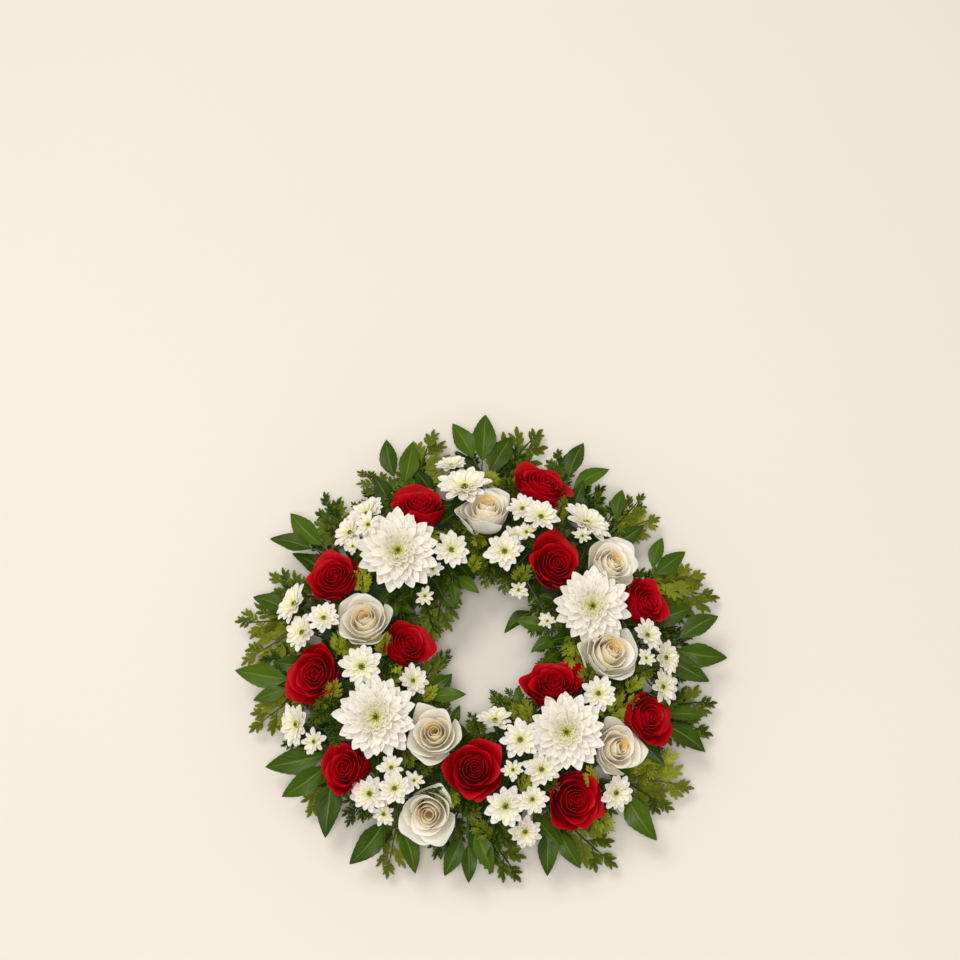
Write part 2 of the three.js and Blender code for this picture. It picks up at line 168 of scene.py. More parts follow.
@dataclass
class Skin:
    """A mesh of quads, with what its finish needs to know at each point.

    Attributes:
        points: Places, in metres.
        quads: Four point numbers for each face.
        place: How far across, how far along and on which side of its own petal or leaf each point is.
        layer: How far out each point's petal stands in its flower, from 0 at the heart to 1.
        tone: A chance value that each petal or leaf has to itself, from 0 to 1, lowered for leaves in painted
            shade.
        finish: Each face's finish.
    """

    points: np.ndarray
    quads: np.ndarray
    place: np.ndarray
    layer: np.ndarray
    tone: np.ndarray
    finish: np.ndarray

    def moved(self, matrix: Matrix) -> "Skin":
        """Returns the skin moved by a matrix."""
        turn = np.array(matrix)
        return replace(self, points=self.points @ turn[:3, :3].T + turn[:3, 3])

    def toned(self, tone: float) -> "Skin":
        """Returns the skin with its tones shifted, so that copies differ."""
        return replace(self, tone=(self.tone + tone) % 1.0)

    @staticmethod
    def joined(skins: Sequence["Skin"]) -> "Skin":
        """Joins skins into one.

        Args:
            skins: The skins.

        Returns:
            One skin that holds them all.
        """
        starts = np.cumsum([0] + [len(s.points) for s in skins[:-1]])
        return Skin(
            np.concatenate([s.points for s in skins]),
            np.concatenate([s.quads + start for s, start in zip(skins, starts)]),
            np.concatenate([s.place for s in skins]),
            np.concatenate([s.layer for s in skins]),
            np.concatenate([s.tone for s in skins]),
            np.concatenate([s.finish for s in skins]),
        )

    @staticmethod
    def plain(
        points: np.ndarray,
        quads: np.ndarray,
        finish: Finish,
        place: np.ndarray | None = None,
    ) -> "Skin":
        """Makes a skin of one finish, with no layer or tone yet.

        Args:
            points: Places, in metres.
            quads: Four point numbers for each face.
            finish: The finish of every face.
            place: How far across and along each point is, or None.

        Returns:
            The skin.
        """
        count = len(points)
        spot = np.zeros((count, 3)) if place is None else place
        finishes = np.full(len(quads), int(finish))
        return Skin(points, quads, spot, np.ones(count), np.full(count, 0.5), finishes)

    @staticmethod
    def read(mesh: bpy.types.Mesh, finishes: dict[str, int]) -> "Skin":
        """Reads a mesh of quads that a node tree made.

        Args:
            mesh: The mesh.
            finishes: The number of each finish, by its material's name.

        Returns:
            The mesh as a skin.
        """
        count = len(mesh.vertices)
        points = np.empty(count * 3)
        mesh.vertices.foreach_get("co", points)
        corners = np.empty(len(mesh.loops), dtype=np.int32)
        mesh.loops.foreach_get("vertex_index", corners)
        slots = np.empty(len(mesh.polygons), dtype=np.int32)
        mesh.polygons.foreach_get("material_index", slots)
        numbers = np.array([finishes[m.name] if m else 0 for m in mesh.materials])
        place = np.zeros(count * 3)
        mesh.attributes["place"].data.foreach_get("vector", place)
        values = {}
        for name in ("layer", "tone"):
            values[name] = np.zeros(count)
            if name in mesh.attributes:
                mesh.attributes[name].data.foreach_get("value", values[name])
        return Skin(
            points.reshape(-1, 3),
            corners.reshape(-1, 4).astype(np.int64),
            place.reshape(-1, 3),
            values["layer"],
            values["tone"],
            numbers[slots],
        )

    def object(self, name: str, palette: Palette, bare: bool = False) -> bpy.types.Object:
        """Makes the skin an object in the scene, at the origin.

        Args:
            name: The object's name.
            palette: The material of each finish.
            bare: Whether to leave out its layer and tone, which a node tree gives to each copy.

        Returns:
            The object.
        """
        mesh = bpy.data.meshes.new(name)
        mesh.vertices.add(len(self.points))
        mesh.vertices.foreach_set("co", self.points.astype(np.float32).ravel())
        mesh.loops.add(self.quads.size)
        mesh.loops.foreach_set("vertex_index", self.quads.astype(np.int32).ravel())
        mesh.polygons.add(len(self.quads))
        mesh.polygons.foreach_set("loop_start", np.arange(0, self.quads.size, 4, dtype=np.int32))
        used, slots = np.unique(self.finish, return_inverse=True)
        for number in used:
            mesh.materials.append(palette[Finish(int(number))])
        mesh.polygons.foreach_set("material_index", slots.astype(np.int32))
        mesh.update(calc_edges=True)
        spot = self.place.astype(np.float32).ravel()
        mesh.attributes.new("place", "FLOAT_VECTOR", "POINT").data.foreach_set("vector", spot)
        extra = {} if bare else {"layer": self.layer, "tone": self.tone}
        for label, values in extra.items():
            store = mesh.attributes.new(label, "FLOAT", "POINT")
            store.data.foreach_set("value", values.astype(np.float32))
        mesh.shade_smooth()
        mesh.set_sharp_from_angle(angle=SHARP_EDGE)
        made = bpy.data.objects.new(name, mesh)
        bpy.context.scene.collection.objects.link(made)
        return made


def thin_shell(
    grid: np.ndarray,
    thickness: float,
    finish: Finish,
    layer: float = 1.0,
    tone: float = 0.5,
) -> Skin:
    """Gives a curved sheet its thickness, as a closed skin.

    Args:
        grid: Points of the sheet, across by along by three.
        thickness: Its thickness, in the grid's own unit.
        finish: Its finish.
        layer: How far out it stands in its flower.
        tone: Its chance value.

    Returns:
        The skin, whose first side looks the way that across turns into along.
    """
    across, along = grid.shape[:2]
    normal = np.cross(np.gradient(grid, axis=0), np.gradient(grid, axis=1))
    normal /= np.maximum(np.linalg.norm(normal, axis=2, keepdims=True), 1e-12)
    half = normal * thickness / 2
    count = across * along
    number = np.arange(count).reshape(across, along)
    corners = (number[:-1, :-1], number[1:, :-1], number[1:, 1:], number[:-1, 1:])
    face = np.stack([c.ravel() for c in corners], axis=1)
    edge = np.concatenate([number[:-1, 0], number[-1, :-1], number[:0:-1, -1], number[0, :0:-1]])
    after = np.roll(edge, -1)
    rim = np.stack([after, edge, edge + count, after + count], axis=1)
    u, v = np.meshgrid(np.linspace(0, 1, across), np.linspace(0, 1, along), indexing="ij")
    side = np.repeat([0.0, 1.0], count)
    spot = np.stack([np.tile(u.ravel(), 2), np.tile(v.ravel(), 2), side], axis=1)
    skin = Skin.plain(
        np.concatenate([(grid + half).reshape(-1, 3), (grid - half).reshape(-1, 3)]),
        np.concatenate([face, face[:, ::-1] + count, rim]),
        finish,
        spot,
    )
    return replace(skin, layer=np.full(2 * count, layer), tone=np.full(2 * count, tone))


def tube(
    path: Sequence[Vector],
    radii: Sequence[float],
    finish: Finish = Finish.STEM,
    sides: int = 6,
) -> Skin:
    """Makes a closed round stem along a path.

    Args:
        path: Points along its middle, in metres.
        radii: Its radius at each point.
        finish: Its finish.
        sides: Its sides, an even number.

    Returns:
        The skin.
    """
    middle = np.array(path)
    forward = np.gradient(middle, axis=0)
    forward /= np.linalg.norm(forward, axis=1, keepdims=True)
    helper = np.array([0.0, 0.0, 1.0]) if abs(forward[0][2]) < 0.9 else np.array([1.0, 0.0, 0.0])
    right = np.cross(forward, helper)
    right /= np.linalg.norm(right, axis=1, keepdims=True)
    over = np.cross(right, forward)
    turn = np.linspace(0, math.tau, sides, endpoint=False)[None, :, None]
    ring = np.cos(turn) * right[:, None, :] + np.sin(turn) * over[:, None, :]
    points = middle[:, None, :] + ring * np.array(radii)[:, None, None]
    number = np.arange(len(middle) * sides).reshape(len(middle), sides)
    beside = np.roll(number, -1, axis=1)
    walls = (number[:-1], number[1:], beside[1:], beside[:-1])
    faces = [np.stack([w.ravel() for w in walls], axis=1)]
    for k in range(1, sides - 1, 2):
        first, last = number[0], number[-1]
        faces.append(np.array([[first[0], first[k], first[k + 1], first[(k + 2) % sides]]]))
        faces.append(np.array([[last[0], last[(k + 2) % sides], last[k + 1], last[k]]]))
    share = np.repeat(np.linspace(0, 1, len(middle)), sides)
    around = np.tile(np.linspace(0, 1, sides), len(middle))
    spot = np.stack([around, share, np.zeros_like(share)], axis=1)
    return Skin.plain(points.reshape(-1, 3), np.concatenate(faces), finish, spot)


def arc(start: Vector, end: Vector, direction: Vector, count: int = 6) -> list[Vector]:
    """Makes a gently curved path.

    Args:
        start: Where it starts.
        end: Where it ends.
        direction: The way that it runs at its end.
        count: Its points.

    Returns:
        The points.
    """
    bend = end - direction.normalized() * (end - start).length * STEM_BEND
    shares = [i / (count - 1) for i in range(count)]
    return [start * (1 - s) ** 2 + bend * 2 * s * (1 - s) + end * s**2 for s in shares]


def polar(degrees: float, radius: float, height: float) -> Vector:
    """Returns a point in metres from the ring's middle, given a direction in degrees and millimetres."""
    angle = math.radians(degrees)
    return Vector((radius * math.cos(angle), radius * math.sin(angle), height)) * MM


def crowded(count: int, power: float) -> np.ndarray:
    """Returns shares from 0 to 1 that stand closer together towards 1."""
    return 1 - (1 - np.linspace(0, 1, count)) ** power


def bezier(share: np.ndarray, stops: Sequence[Any]) -> np.ndarray:
    """Returns the places at each share along a cubic curve that has four stops."""
    rest = 1 - share
    weights = (rest**3, 3 * share * rest**2, 3 * share**2 * rest, share**3)
    return sum(weight * stop for weight, stop in zip(weights, stops))


def crown_height(distance: float) -> float:
    """Returns how high the flowers' faces stand at a distance from the middle, in millimetres."""
    share = (distance - CROWN_RADIUS) / CROWN_HALF_WIDTH
    return max(CROWN_LOWEST, CROWN_HEIGHT - CROWN_DROP * share**2)


# Growth by node trees


class Tree(Graph):
    """A geometry node tree that grows a plain mesh from named inputs."""

    def __init__(self, name: str, inputs: dict[str, tuple[str, Any]]) -> None:
        """Starts the tree.

        Args:
            name: Its name.
            inputs: Each input's socket type and standard value, by its name.
        """
        super().__init__(bpy.data.node_groups.new(name, "GeometryNodeTree"))
        self.tree.interface.new_socket("Mesh", in_out="OUTPUT", socket_type="NodeSocketGeometry")
        for label, (kind, value) in inputs.items():
            socket = self.tree.interface.new_socket(label, in_out="INPUT", socket_type=kind)
            if value is not None:
                socket.default_value = value
        self.given = self.node("NodeGroupInput").outputs

    def between(self, share: Socket, low: str, high: str) -> Socket:
        """Returns the value that lies between two named inputs at a share."""
        links = {"Value": share, "To Min": self.given[low], "To Max": self.given[high]}
        return self.node("ShaderNodeMapRange", links).outputs[0]

    def chance(self, offset: int, low: float = -1.0, high: float = 1.0) -> Socket:
        """Returns a chance value for each point, which the seed fixes."""
        seed = self.maths("ADD", self.given["Seed"], float(offset))
        links = {2: low, 3: high, "Seed": seed}
        return self.node("FunctionNodeRandomValue", links, data_type="FLOAT").outputs[1]

    def vector(self, x: Any, y: Any, z: Any) -> Socket:
        """Returns a vector of three sockets or numbers."""
        return self.node("ShaderNodeCombineXYZ", {0: x, 1: y, 2: z}).outputs[0]

    def points(self, position: Socket) -> Socket:
        """Returns as many points as the count says, each at its position."""
        many = {"Count": self.given["Count"], "Offset": (0, 0, 0)}
        line = self.node("GeometryNodeMeshLine", many).outputs[0]
        place = {"Geometry": line, "Position": position}
        return self.node("GeometryNodeSetPosition", place).outputs[0]

    def instances(
        self,
        points: Socket,
        turn: Socket,
        size: Socket,
        share: Socket,
    ) -> Socket:
        """Sets a copy of the blade at every point.

        Args:
            points: The points.
            turn: Each copy's rotation.
            size: Each copy's size.
            share: Each copy's place in the order, from 0 to 1, kept as its layer.

        Returns:
            The copies, with their layer and tone.
        """
        source = {"Object": self.given["Blade"]}
        blade = self.node("GeometryNodeObjectInfo", source).outputs["Geometry"]
        scale = self.vector(size, size, size)
        links = {"Points": points, "Instance": blade, "Rotation": turn, "Scale": scale}
        copies = self.node("GeometryNodeInstanceOnPoints", links).outputs[0]
        for name, value in (("layer", share), ("tone", self.chance(9, 0.0, 1.0))):
            store = {"Geometry": copies, "Name": name, "Value": value}
            settings = {"data_type": "FLOAT", "domain": "INSTANCE"}
            copies = self.node("GeometryNodeStoreNamedAttribute", store, **settings).outputs[0]
        return copies

    def finish(self, copies: Socket, *others: Socket) -> None:
        """Ends the tree: copies made real, joined to the rest, and given their finish.

        Args:
            copies: The copies.
            others: Other parts of the result.
        """
        real = self.node("GeometryNodeRealizeInstances", {"Geometry": copies}).outputs[0]
        joint = self.node("GeometryNodeJoinGeometry")
        for part in (real, *others):
            self.tree.links.new(part, joint.inputs[0])
        links = {"Geometry": joint.outputs[0], "Material": self.given["Finish"]}
        dressed = self.node("GeometryNodeSetMaterial", links).outputs[0]
        self.node("NodeGroupOutput", {0: dressed})

    def grow(self, palette: Palette, **inputs: Any) -> Skin:
        """Runs the tree.

        Args:
            palette: The material of each finish.
            inputs: A value for each input, by its name with underscores for spaces.

        Returns:
            What grew, as a skin.
        """
        holder = bpy.data.objects.new("growth", bpy.data.meshes.new("growth"))
        bpy.context.scene.collection.objects.link(holder)
        modifier = holder.modifiers.new("growth", "NODES")
        modifier.node_group = self.tree
        for item in self.tree.interface.items_tree:
            key = item.name.replace(" ", "_").lower()
            if item.in_out == "INPUT" and key in inputs:
                value = inputs[key]
                modifier[item.identifier] = palette[value] if isinstance(value, Finish) else value
        graph = bpy.context.evaluated_depsgraph_get()
        mesh = bpy.data.meshes.new_from_object(holder.evaluated_get(graph), depsgraph=graph)
        skin = Skin.read(mesh, {m.name: int(f) for f, m in palette.items()})
        bpy.data.objects.remove(holder)
        bpy.data.meshes.remove(mesh)
        return skin


NUMBER = "NodeSocketFloat"
COMMON_INPUTS = {
    "Blade": ("NodeSocketObject", None),
    "Count": ("NodeSocketInt", 12),
    "Unevenness": (NUMBER, 0.1),
    "Seed": ("NodeSocketInt", 0),
    "Finish": ("NodeSocketMaterial", None),
}


def whorl_tree() -> Tree:
    """Makes the tree that sets petals round an axis from the heart out, each a golden turn from the last.

    Returns:
        The tree. Its tilt inputs are angles up from flat, and its radius and height inputs place the
        petals' feet.
    """
    sizes = {
        "Inner Radius": 0.0,
        "Outer Radius": 0.1,
        "Inner Height": 0.1,
        "Outer Height": 0.0,
        "Inner Tilt": 1.2,
        "Outer Tilt": 0.1,
        "Inner Size": 0.3,
        "Outer Size": 1.0,
        "Opening": 1.0,
    }
    tree = Tree("petals round an axis", COMMON_INPUTS | {k: (NUMBER, v) for k, v in sizes.items()})
    given = tree.given
    number = tree.node("GeometryNodeInputIndex").outputs[0]
    share = tree.maths("DIVIDE", number, tree.maths("SUBTRACT", given["Count"], 1.0))
    opened = tree.maths("POWER", share, given["Opening"])
    uneven = given["Unevenness"]
    sway = tree.maths("MULTIPLY", tree.chance(1), uneven)
    angle = tree.maths("ADD", tree.maths("MULTIPLY", number, GOLDEN_TURN), sway)
    radius = tree.between(share, "Inner Radius", "Outer Radius")
    height = tree.between(share, "Inner Height", "Outer Height")
    x = tree.maths("MULTIPLY", radius, tree.maths("COSINE", angle))
    y = tree.maths("MULTIPLY", radius, tree.maths("SINE", angle))
    tilt = tree.maths(
        "ADD",
        tree.between(opened, "Inner Tilt", "Outer Tilt"),
        tree.maths("MULTIPLY", tree.chance(2), uneven),
    )
    twist = tree.maths("MULTIPLY", tree.chance(3, -1.6, 1.6), uneven)
    turn = tree.vector(twist, tree.maths("MULTIPLY", tilt, -1.0), angle)
    size = tree.maths(
        "MULTIPLY",
        tree.between(share, "Inner Size", "Outer Size"),
        tree.maths("ADD", 1.0, tree.maths("MULTIPLY", tree.chance(4, -0.9, 0.3), uneven)),
    )
    points = tree.points(tree.vector(x, y, height))
    tree.finish(tree.instances(points, turn, size, share))
    return tree


def sprig_tree() -> Tree:
    """Makes the tree that sets blades along both sides of a bending stalk, the last at its tip.

    Returns:
        The tree. Its angle inputs are how far the blades stand away from the stalk.
    """
    sizes = {
        "Length": 1.0,
        "Bend": 0.1,
        "Base Angle": 0.9,
        "Tip Angle": 0.4,
        "Base Size": 0.4,
        "Middle Size": 0.5,
        "Tip Size": 0.2,
        "Stalk Radius": 0.01,
        "Bare Share": 0.2,
    }
    tree = Tree("blades along a stalk", COMMON_INPUTS | {k: (NUMBER, v) for k, v in sizes.items()})
    given = tree.given
    number = tree.node("GeometryNodeInputIndex").outputs[0]
    share = tree.maths("DIVIDE", number, tree.maths("SUBTRACT", given["Count"], 1.0))
    bare = given["Bare Share"]
    along = tree.maths("ADD", bare, tree.maths("MULTIPLY", share, tree.maths("SUBTRACT", 1.0, bare)))
    length = given["Length"]
    drop = tree.maths("MULTIPLY", given["Bend"], length)
    x = tree.maths("MULTIPLY", along, length)
    below = tree.maths("MULTIPLY", drop, -1.0)
    z = tree.maths("MULTIPLY", tree.maths("MULTIPLY", along, along), below)
    parity = tree.maths("MODULO", number, 2.0)
    side = tree.maths("SUBTRACT", tree.maths("MULTIPLY", parity, 2.0), 1.0)
    inner = tree.maths("LESS_THAN", share, 0.999)
    sway = tree.maths("MULTIPLY", tree.chance(1), given["Unevenness"])
    away = tree.maths("MULTIPLY", tree.between(share, "Base Angle", "Tip Angle"), side)
    spread = tree.maths("ADD", tree.maths("MULTIPLY", away, inner), sway)
    steepness = tree.maths("MULTIPLY", given["Bend"], 2.0)
    slope = tree.maths("ARCTANGENT", tree.maths("MULTIPLY", along, steepness))
    dip = tree.maths("ADD", slope, tree.maths("MULTIPLY", tree.chance(2), given["Unevenness"]))
    roll = tree.maths("MULTIPLY", tree.chance(3, -2.0, 2.0), given["Unevenness"])
    hump = tree.maths("SINE", tree.maths("MULTIPLY", tree.maths("POWER", share, 0.6), math.pi))
    ends = tree.between(share, "Base Size", "Tip Size")
    size = tree.maths("ADD", ends, tree.maths("MULTIPLY", hump, given["Middle Size"]))
    points = tree.points(tree.vector(x, 0.0, z))
    copies = tree.instances(points, tree.vector(roll, dip, spread), size, share)
    middle = tree.vector(tree.maths("MULTIPLY", length, 0.5), 0.0, 0.0)
    tip = tree.vector(length, 0.0, below)
    curve = {"Resolution": 4, "Start": (0, 0, 0), "Middle": middle, "End": tip}
    stalk = tree.node("GeometryNodeCurveQuadraticBezier", curve).outputs[0]
    round_stalk = {"Resolution": 4, "Radius": given["Stalk Radius"]}
    section = tree.node("GeometryNodeCurvePrimitiveCircle", round_stalk)
    sweep = {"Curve": stalk, "Profile Curve": section.outputs[0], "Fill Caps": True}
    tree.finish(copies, tree.node("GeometryNodeCurveToMesh", sweep).outputs[0])
    return tree


# Blades: petals, leaves and lobes of one unit's length along X, facing +Z


def blade_grid(
    outline: Callable[[np.ndarray], np.ndarray],
    lift: Callable[[np.ndarray, np.ndarray], np.ndarray],
    across: int,
    along: int,
) -> np.ndarray:
    """Makes the grid of a blade.

    Args:
        outline: Half the blade's width at each share of its length.
        lift: Its height at each place across, from -1 to 1, and along.
        across: Points across.
        along: Points along.

    Returns:
        The grid.
    """
    u, v = np.meshgrid(np.linspace(1, -1, across), crowded(along, 1.6), indexing="ij")
    return np.stack([v, u * outline(v), lift(u, v)], axis=2)


def pointed(widest: float, foot: float, power: float) -> Callable[[np.ndarray], np.ndarray]:
    """Makes the outline of a pointed blade, as a share of its greatest half width.

    Args:
        widest: Where along the blade it is widest.
        foot: Its width at the foot.
        power: How full it stays towards its tip.

    Returns:
        The outline.
    """

    def outline(v: np.ndarray) -> np.ndarray:
        rising = foot + (1 - foot) * np.sin(np.clip(v / widest, 0, 1) * math.pi / 2)
        falling = (1 - np.clip((v - widest) / (1 - widest), 0, 1) ** power) ** 0.85
        return np.maximum(rising * falling, 0.03)

    return outline


@dataclass(frozen=True)
class BladeShape:
    """A petal or leaf of one unit's length.

    Attributes:
        half_width: Half its greatest width.
        widest: Where along it is widest.
        foot: Its width at the foot, as a share.
        fullness: How full it stays towards its tip.
        cup: How far its sides rise.
        curl: How far its tip rises.
        arch: How far its middle rises above its ends.
        fold: How sharply it folds along its middle.
        thickness: Its thickness.
        teeth: How deep its teeth are, as a share of its width.
        across: Points across.
        along: Points along.
    """

    half_width: float
    widest: float = 0.6
    foot: float = 0.35
    fullness: float = 2.2
    cup: float = 0.25
    curl: float = 0.1
    arch: float = 0.0
    fold: float = 0.0
    thickness: float = 0.012
    teeth: float = 0.0
    across: int = 5
    along: int = 8

    def skin(self, finish: Finish) -> Skin:
        """Makes the blade.

        Args:
            finish: Its finish.

        Returns:
            The skin.
        """
        share = pointed(self.widest, self.foot, self.fullness)

        def outline(v: np.ndarray) -> np.ndarray:
            notch = 1 - self.teeth * (np.arange(self.along) % 2)
            return self.half_width * share(v) * notch

        def lift(u: np.ndarray, v: np.ndarray) -> np.ndarray:
            side = self.half_width * share(v)
            wave = 0.06 * self.half_width * np.sin(v * 9 + u * 2) * np.abs(u)
            bend = self.curl * v**2.2 + self.arch * np.sin(v * math.pi)
            return self.cup * side * u**2 + self.fold * side * np.abs(u) + bend + wave

        return thin_shell(blade_grid(outline, lift, self.across, self.along), self.thickness, finish)


def lobe(half_width: float, thickness: float, tip: float, finish: Finish) -> Skin:
    """Makes one small solid lobe of a fern leaflet, or one floret of an eye, one unit long.

    Args:
        half_width: Half its greatest width.
        thickness: Its thickness.
        tip: The width of its tip, as a share.
        finish: Its finish.

    Returns:
        The skin, a few faces in all.
    """
    rows = [(0.0, 0.45), (0.5, 1.0), (1.0, tip)]
    section = [(1.0, 0.0), (0.0, 1.0), (-1.0, 0.0), (0.0, -1.0)]
    points = [(x, y * w * half_width, z * w * thickness / 2) for x, w in rows for y, z in section]
    sides = []
    for start in (0, 4):
        for k in range(4):
            after = (k + 1) % 4
            sides.append([start + k, start + after, start + 4 + after, start + 4 + k])
    caps = [[3, 2, 1, 0], [8, 9, 10, 11]]
    place = np.array([(0.5 + y / 2, x, 0) for x, _ in rows for y, _ in section])
    return Skin.plain(np.array(points), np.array(sides + caps), finish, place)


# Finishes


class Paint(Graph):
    """The node tree of one finish, which reads where each point is on its petal or leaf."""

    def __init__(self, name: str) -> None:
        """Starts a material."""
        self.material = bpy.data.materials.new(name)
        self.material.use_nodes = True
        super().__init__(self.material.node_tree)
        self.tree.nodes.clear()
        self.place = self.node("ShaderNodeAttribute", attribute_name="place").outputs["Vector"]
        split = self.node("ShaderNodeSeparateXYZ", {0: self.place}).outputs
        self.across, self.along, self.inside = split[0], split[1], split[2]
        self.layer = self.node("ShaderNodeAttribute", attribute_name="layer").outputs["Fac"]
        self.tone = self.node("ShaderNodeAttribute", attribute_name="tone").outputs["Fac"]
        self.side = self.maths("ABSOLUTE", self.maths("MULTIPLY_ADD", self.across, 2.0, -1.0))

    def spread(self, value: Socket, low: float, high: float) -> Socket:
        """Returns a value of 0 to 1 spread between low and high."""
        return self.node("ShaderNodeMapRange", {"Value": value, "To Min": low, "To Max": high}).outputs[0]

    def smooth(self, value: Socket, low: float, high: float) -> Socket:
        """Returns a share that rises smoothly from 0 to 1 as a value goes from low to high."""
        links = {"Value": value, "From Min": low, "From Max": high}
        return self.node("ShaderNodeMapRange", links, interpolation_type="SMOOTHSTEP").outputs[0]

    def mix(self, share: Any, first: Any, second: Any) -> Socket:
        """Returns two colours, given as sockets or hex, mixed by a share."""
        colours = [linear(c) if isinstance(c, str) else c for c in (first, second)]
        links = {0: share, 6: colours[0], 7: colours[1]}
        return self.node("ShaderNodeMix", links, data_type="RGBA").outputs[2]

    def noise(self, vector: Socket, scale: float, detail: float = 2.0) -> Socket:
        """Returns a smooth chance value from 0 to 1 that varies with a vector."""
        links = {"Vector": vector, "Scale": scale, "Detail": detail}
        return self.node("ShaderNodeTexNoise", links).outputs["Fac"]

    def stretched(self, across: float, along: float) -> Socket:
        """Returns the place on the petal stretched by two counts, and different on each petal."""
        links = {
            0: self.maths("MULTIPLY", self.across, across),
            1: self.maths("MULTIPLY", self.along, along),
            2: self.maths("MULTIPLY", self.tone, 37.0),
        }
        return self.node("ShaderNodeCombineXYZ", links).outputs[0]

    def coordinates(self) -> Socket:
        """Returns the object's own coordinates."""
        return self.node("ShaderNodeTexCoord").outputs["Object"]

    def relief(self, height: Socket, depth: float, strength: float) -> Socket:
        """Returns the normal of a fine relief, given its height and its depth in metres."""
        links = {"Height": height, "Distance": depth, "Strength": strength}
        return self.node("ShaderNodeBump", links).outputs[0]

    def surface(self, colour: Socket, **sockets: Any) -> bpy.types.Material:
        """Ends the material.

        Args:
            colour: Its colour.
            sockets: Other inputs of the surface, with underscores for spaces.

        Returns:
            The material.
        """
        links = {name.replace("_", " "): value for name, value in sockets.items()}
        shader = self.node("ShaderNodeBsdfPrincipled", {"Base Color": colour} | links)
        self.node("ShaderNodeOutputMaterial", {0: shader.outputs[0]})
        return self.material


@dataclass(frozen=True)
class PetalFinish:
    """The finish of a petal.

    Attributes:
        name: The material's name.
        foot: The colour at a petal's foot, near black in the red petal as painted shade of the rose's depths.
        body: The colour of an outer petal.
        rim: The colour of an outer petal's rim, lighter than its body as a painted highlight.
        heart: The colour of a petal at the heart, darker in the red petal as painted shade.
        heart_rim: The colour of the rim of a petal at the heart, shown on its inner side only where it is
            turned away from the key lamp, which paints shade there.
        vein: The colour that the fine lengthwise veins lean to.
        veins: How strong the veins are.
        roughness: How matt it is.
        gloss: How much light it mirrors, where 0.5 is usual.
        velvet: How much light its nap catches at the edges.
        glow: How much light passes into it.
    """

    name: str
    foot: str
    body: str
    rim: str
    heart: str
    heart_rim: str
    vein: str
    veins: float
    roughness: float
    gloss: float
    velvet: float
    glow: float

    def material(self) -> bpy.types.Material:
        """Makes the material."""
        paint = Paint(self.name)
        # The colour runs from the heart colour out to the body colour; the red petal's darker heart is painted
        # shade
        heart_tint_and_shade_fade = paint.smooth(paint.layer, 0.1, 0.6)
        body = paint.mix(heart_tint_and_shade_fade, self.heart, self.body)
        # Painted shade: rims near the heart take the heart-rim colour only on faces turned away from the key
        # lamp, which hangs towards +Y; faces turned to it keep the rim colour
        normal = paint.node("ShaderNodeTexCoord").outputs["Normal"]
        toward_key_lamp = paint.node("ShaderNodeSeparateXYZ", {0: normal}).outputs[1]
        near_heart = paint.smooth(paint.layer, 0.62, 0.35)
        heart_rim_and_painted_shade = paint.maths("MULTIPLY", near_heart, paint.smooth(paint.inside, 0.2, 0.9))
        heart_rim_and_painted_shade = paint.maths("MULTIPLY", heart_rim_and_painted_shade, paint.smooth(toward_key_lamp, 0.6, 0.0))
        rim = paint.mix(heart_rim_and_painted_shade, self.rim, self.heart_rim)
        # Towards each petal's foot the colour turns to the foot colour; the red petal's near-black foot is
        # painted shade
        colour = paint.mix(paint.smooth(paint.along, 0.4, 0.0), body, self.foot)
        fibres = paint.noise(paint.stretched(22.0, 1.6), 1.0)
        lines = paint.maths("MULTIPLY", paint.smooth(fibres, 0.45, 0.7), self.veins)
        colour = paint.mix(lines, colour, self.vein)
        # Painted highlight: each petal's rim and tip take the lighter rim colour
        reach = paint.maths("MAXIMUM", paint.along, paint.maths("MULTIPLY", paint.side, 0.98))
        colour = paint.mix(paint.smooth(reach, 0.74, 1.0), colour, rim)
        shade = paint.spread(paint.tone, 0.9, 1.06)
        colour = paint.node("ShaderNodeHueSaturation", {"Color": colour, "Value": shade}).outputs[0]
        return paint.surface(
            colour,
            Roughness=self.roughness,
            Specular_IOR_Level=self.gloss,
            Sheen_Weight=self.velvet,
            Sheen_Roughness=0.4,
            Subsurface_Weight=self.glow,
            Subsurface_Radius=(1.0, 0.92, 0.8),
            Subsurface_Scale=0.004,
            Normal=paint.relief(fibres, 0.0004, 0.5),
        )


# Velvety deep crimson, near black towards the foot and darker at the heart as painted shade of the rose's
# depths, with thin lighter rims round the heart as painted highlight
RED_PETAL = PetalFinish(
    "crimson velvet petal",
    foot="#140001",
    body="#a2000e",
    rim="#b80014",
    heart="#740009",
    heart_rim="#b00013",
    vein="#780009",
    veins=0.3,
    roughness=0.45,
    gloss=0.08,
    velvet=0.0,
    glow=0.08,
)
# Cream white, warmer inside, with yellow-orange rims round the heart, which show only on faces turned away
# from the key lamp as painted shade
CREAM_PETAL = PetalFinish(
    "cream rose petal",
    foot="#ffe68c",
    body="#fff6de",
    rim="#fffbee",
    heart="#ffe9a0",
    heart_rim="#eca000",
    vein="#ffeed0",
    veins=0.1,
    roughness=0.5,
    gloss=0.3,
    velvet=0.03,
    glow=0.7,
)
# Thin white, greyer and veined inside with a whiter rim as painted highlight, greenish yellow at the heart
WHITE_PETAL = PetalFinish(
    "white chrysanthemum petal",
    foot="#f0f08c",
    body="#f9f3e5",
    rim="#fffaee",
    heart="#fefad2",
    heart_rim="#fffce2",
    vein="#e0d9ca",
    veins=0.3,
    roughness=0.5,
    gloss=0.3,
    velvet=0.03,
    glow=0.5,
)


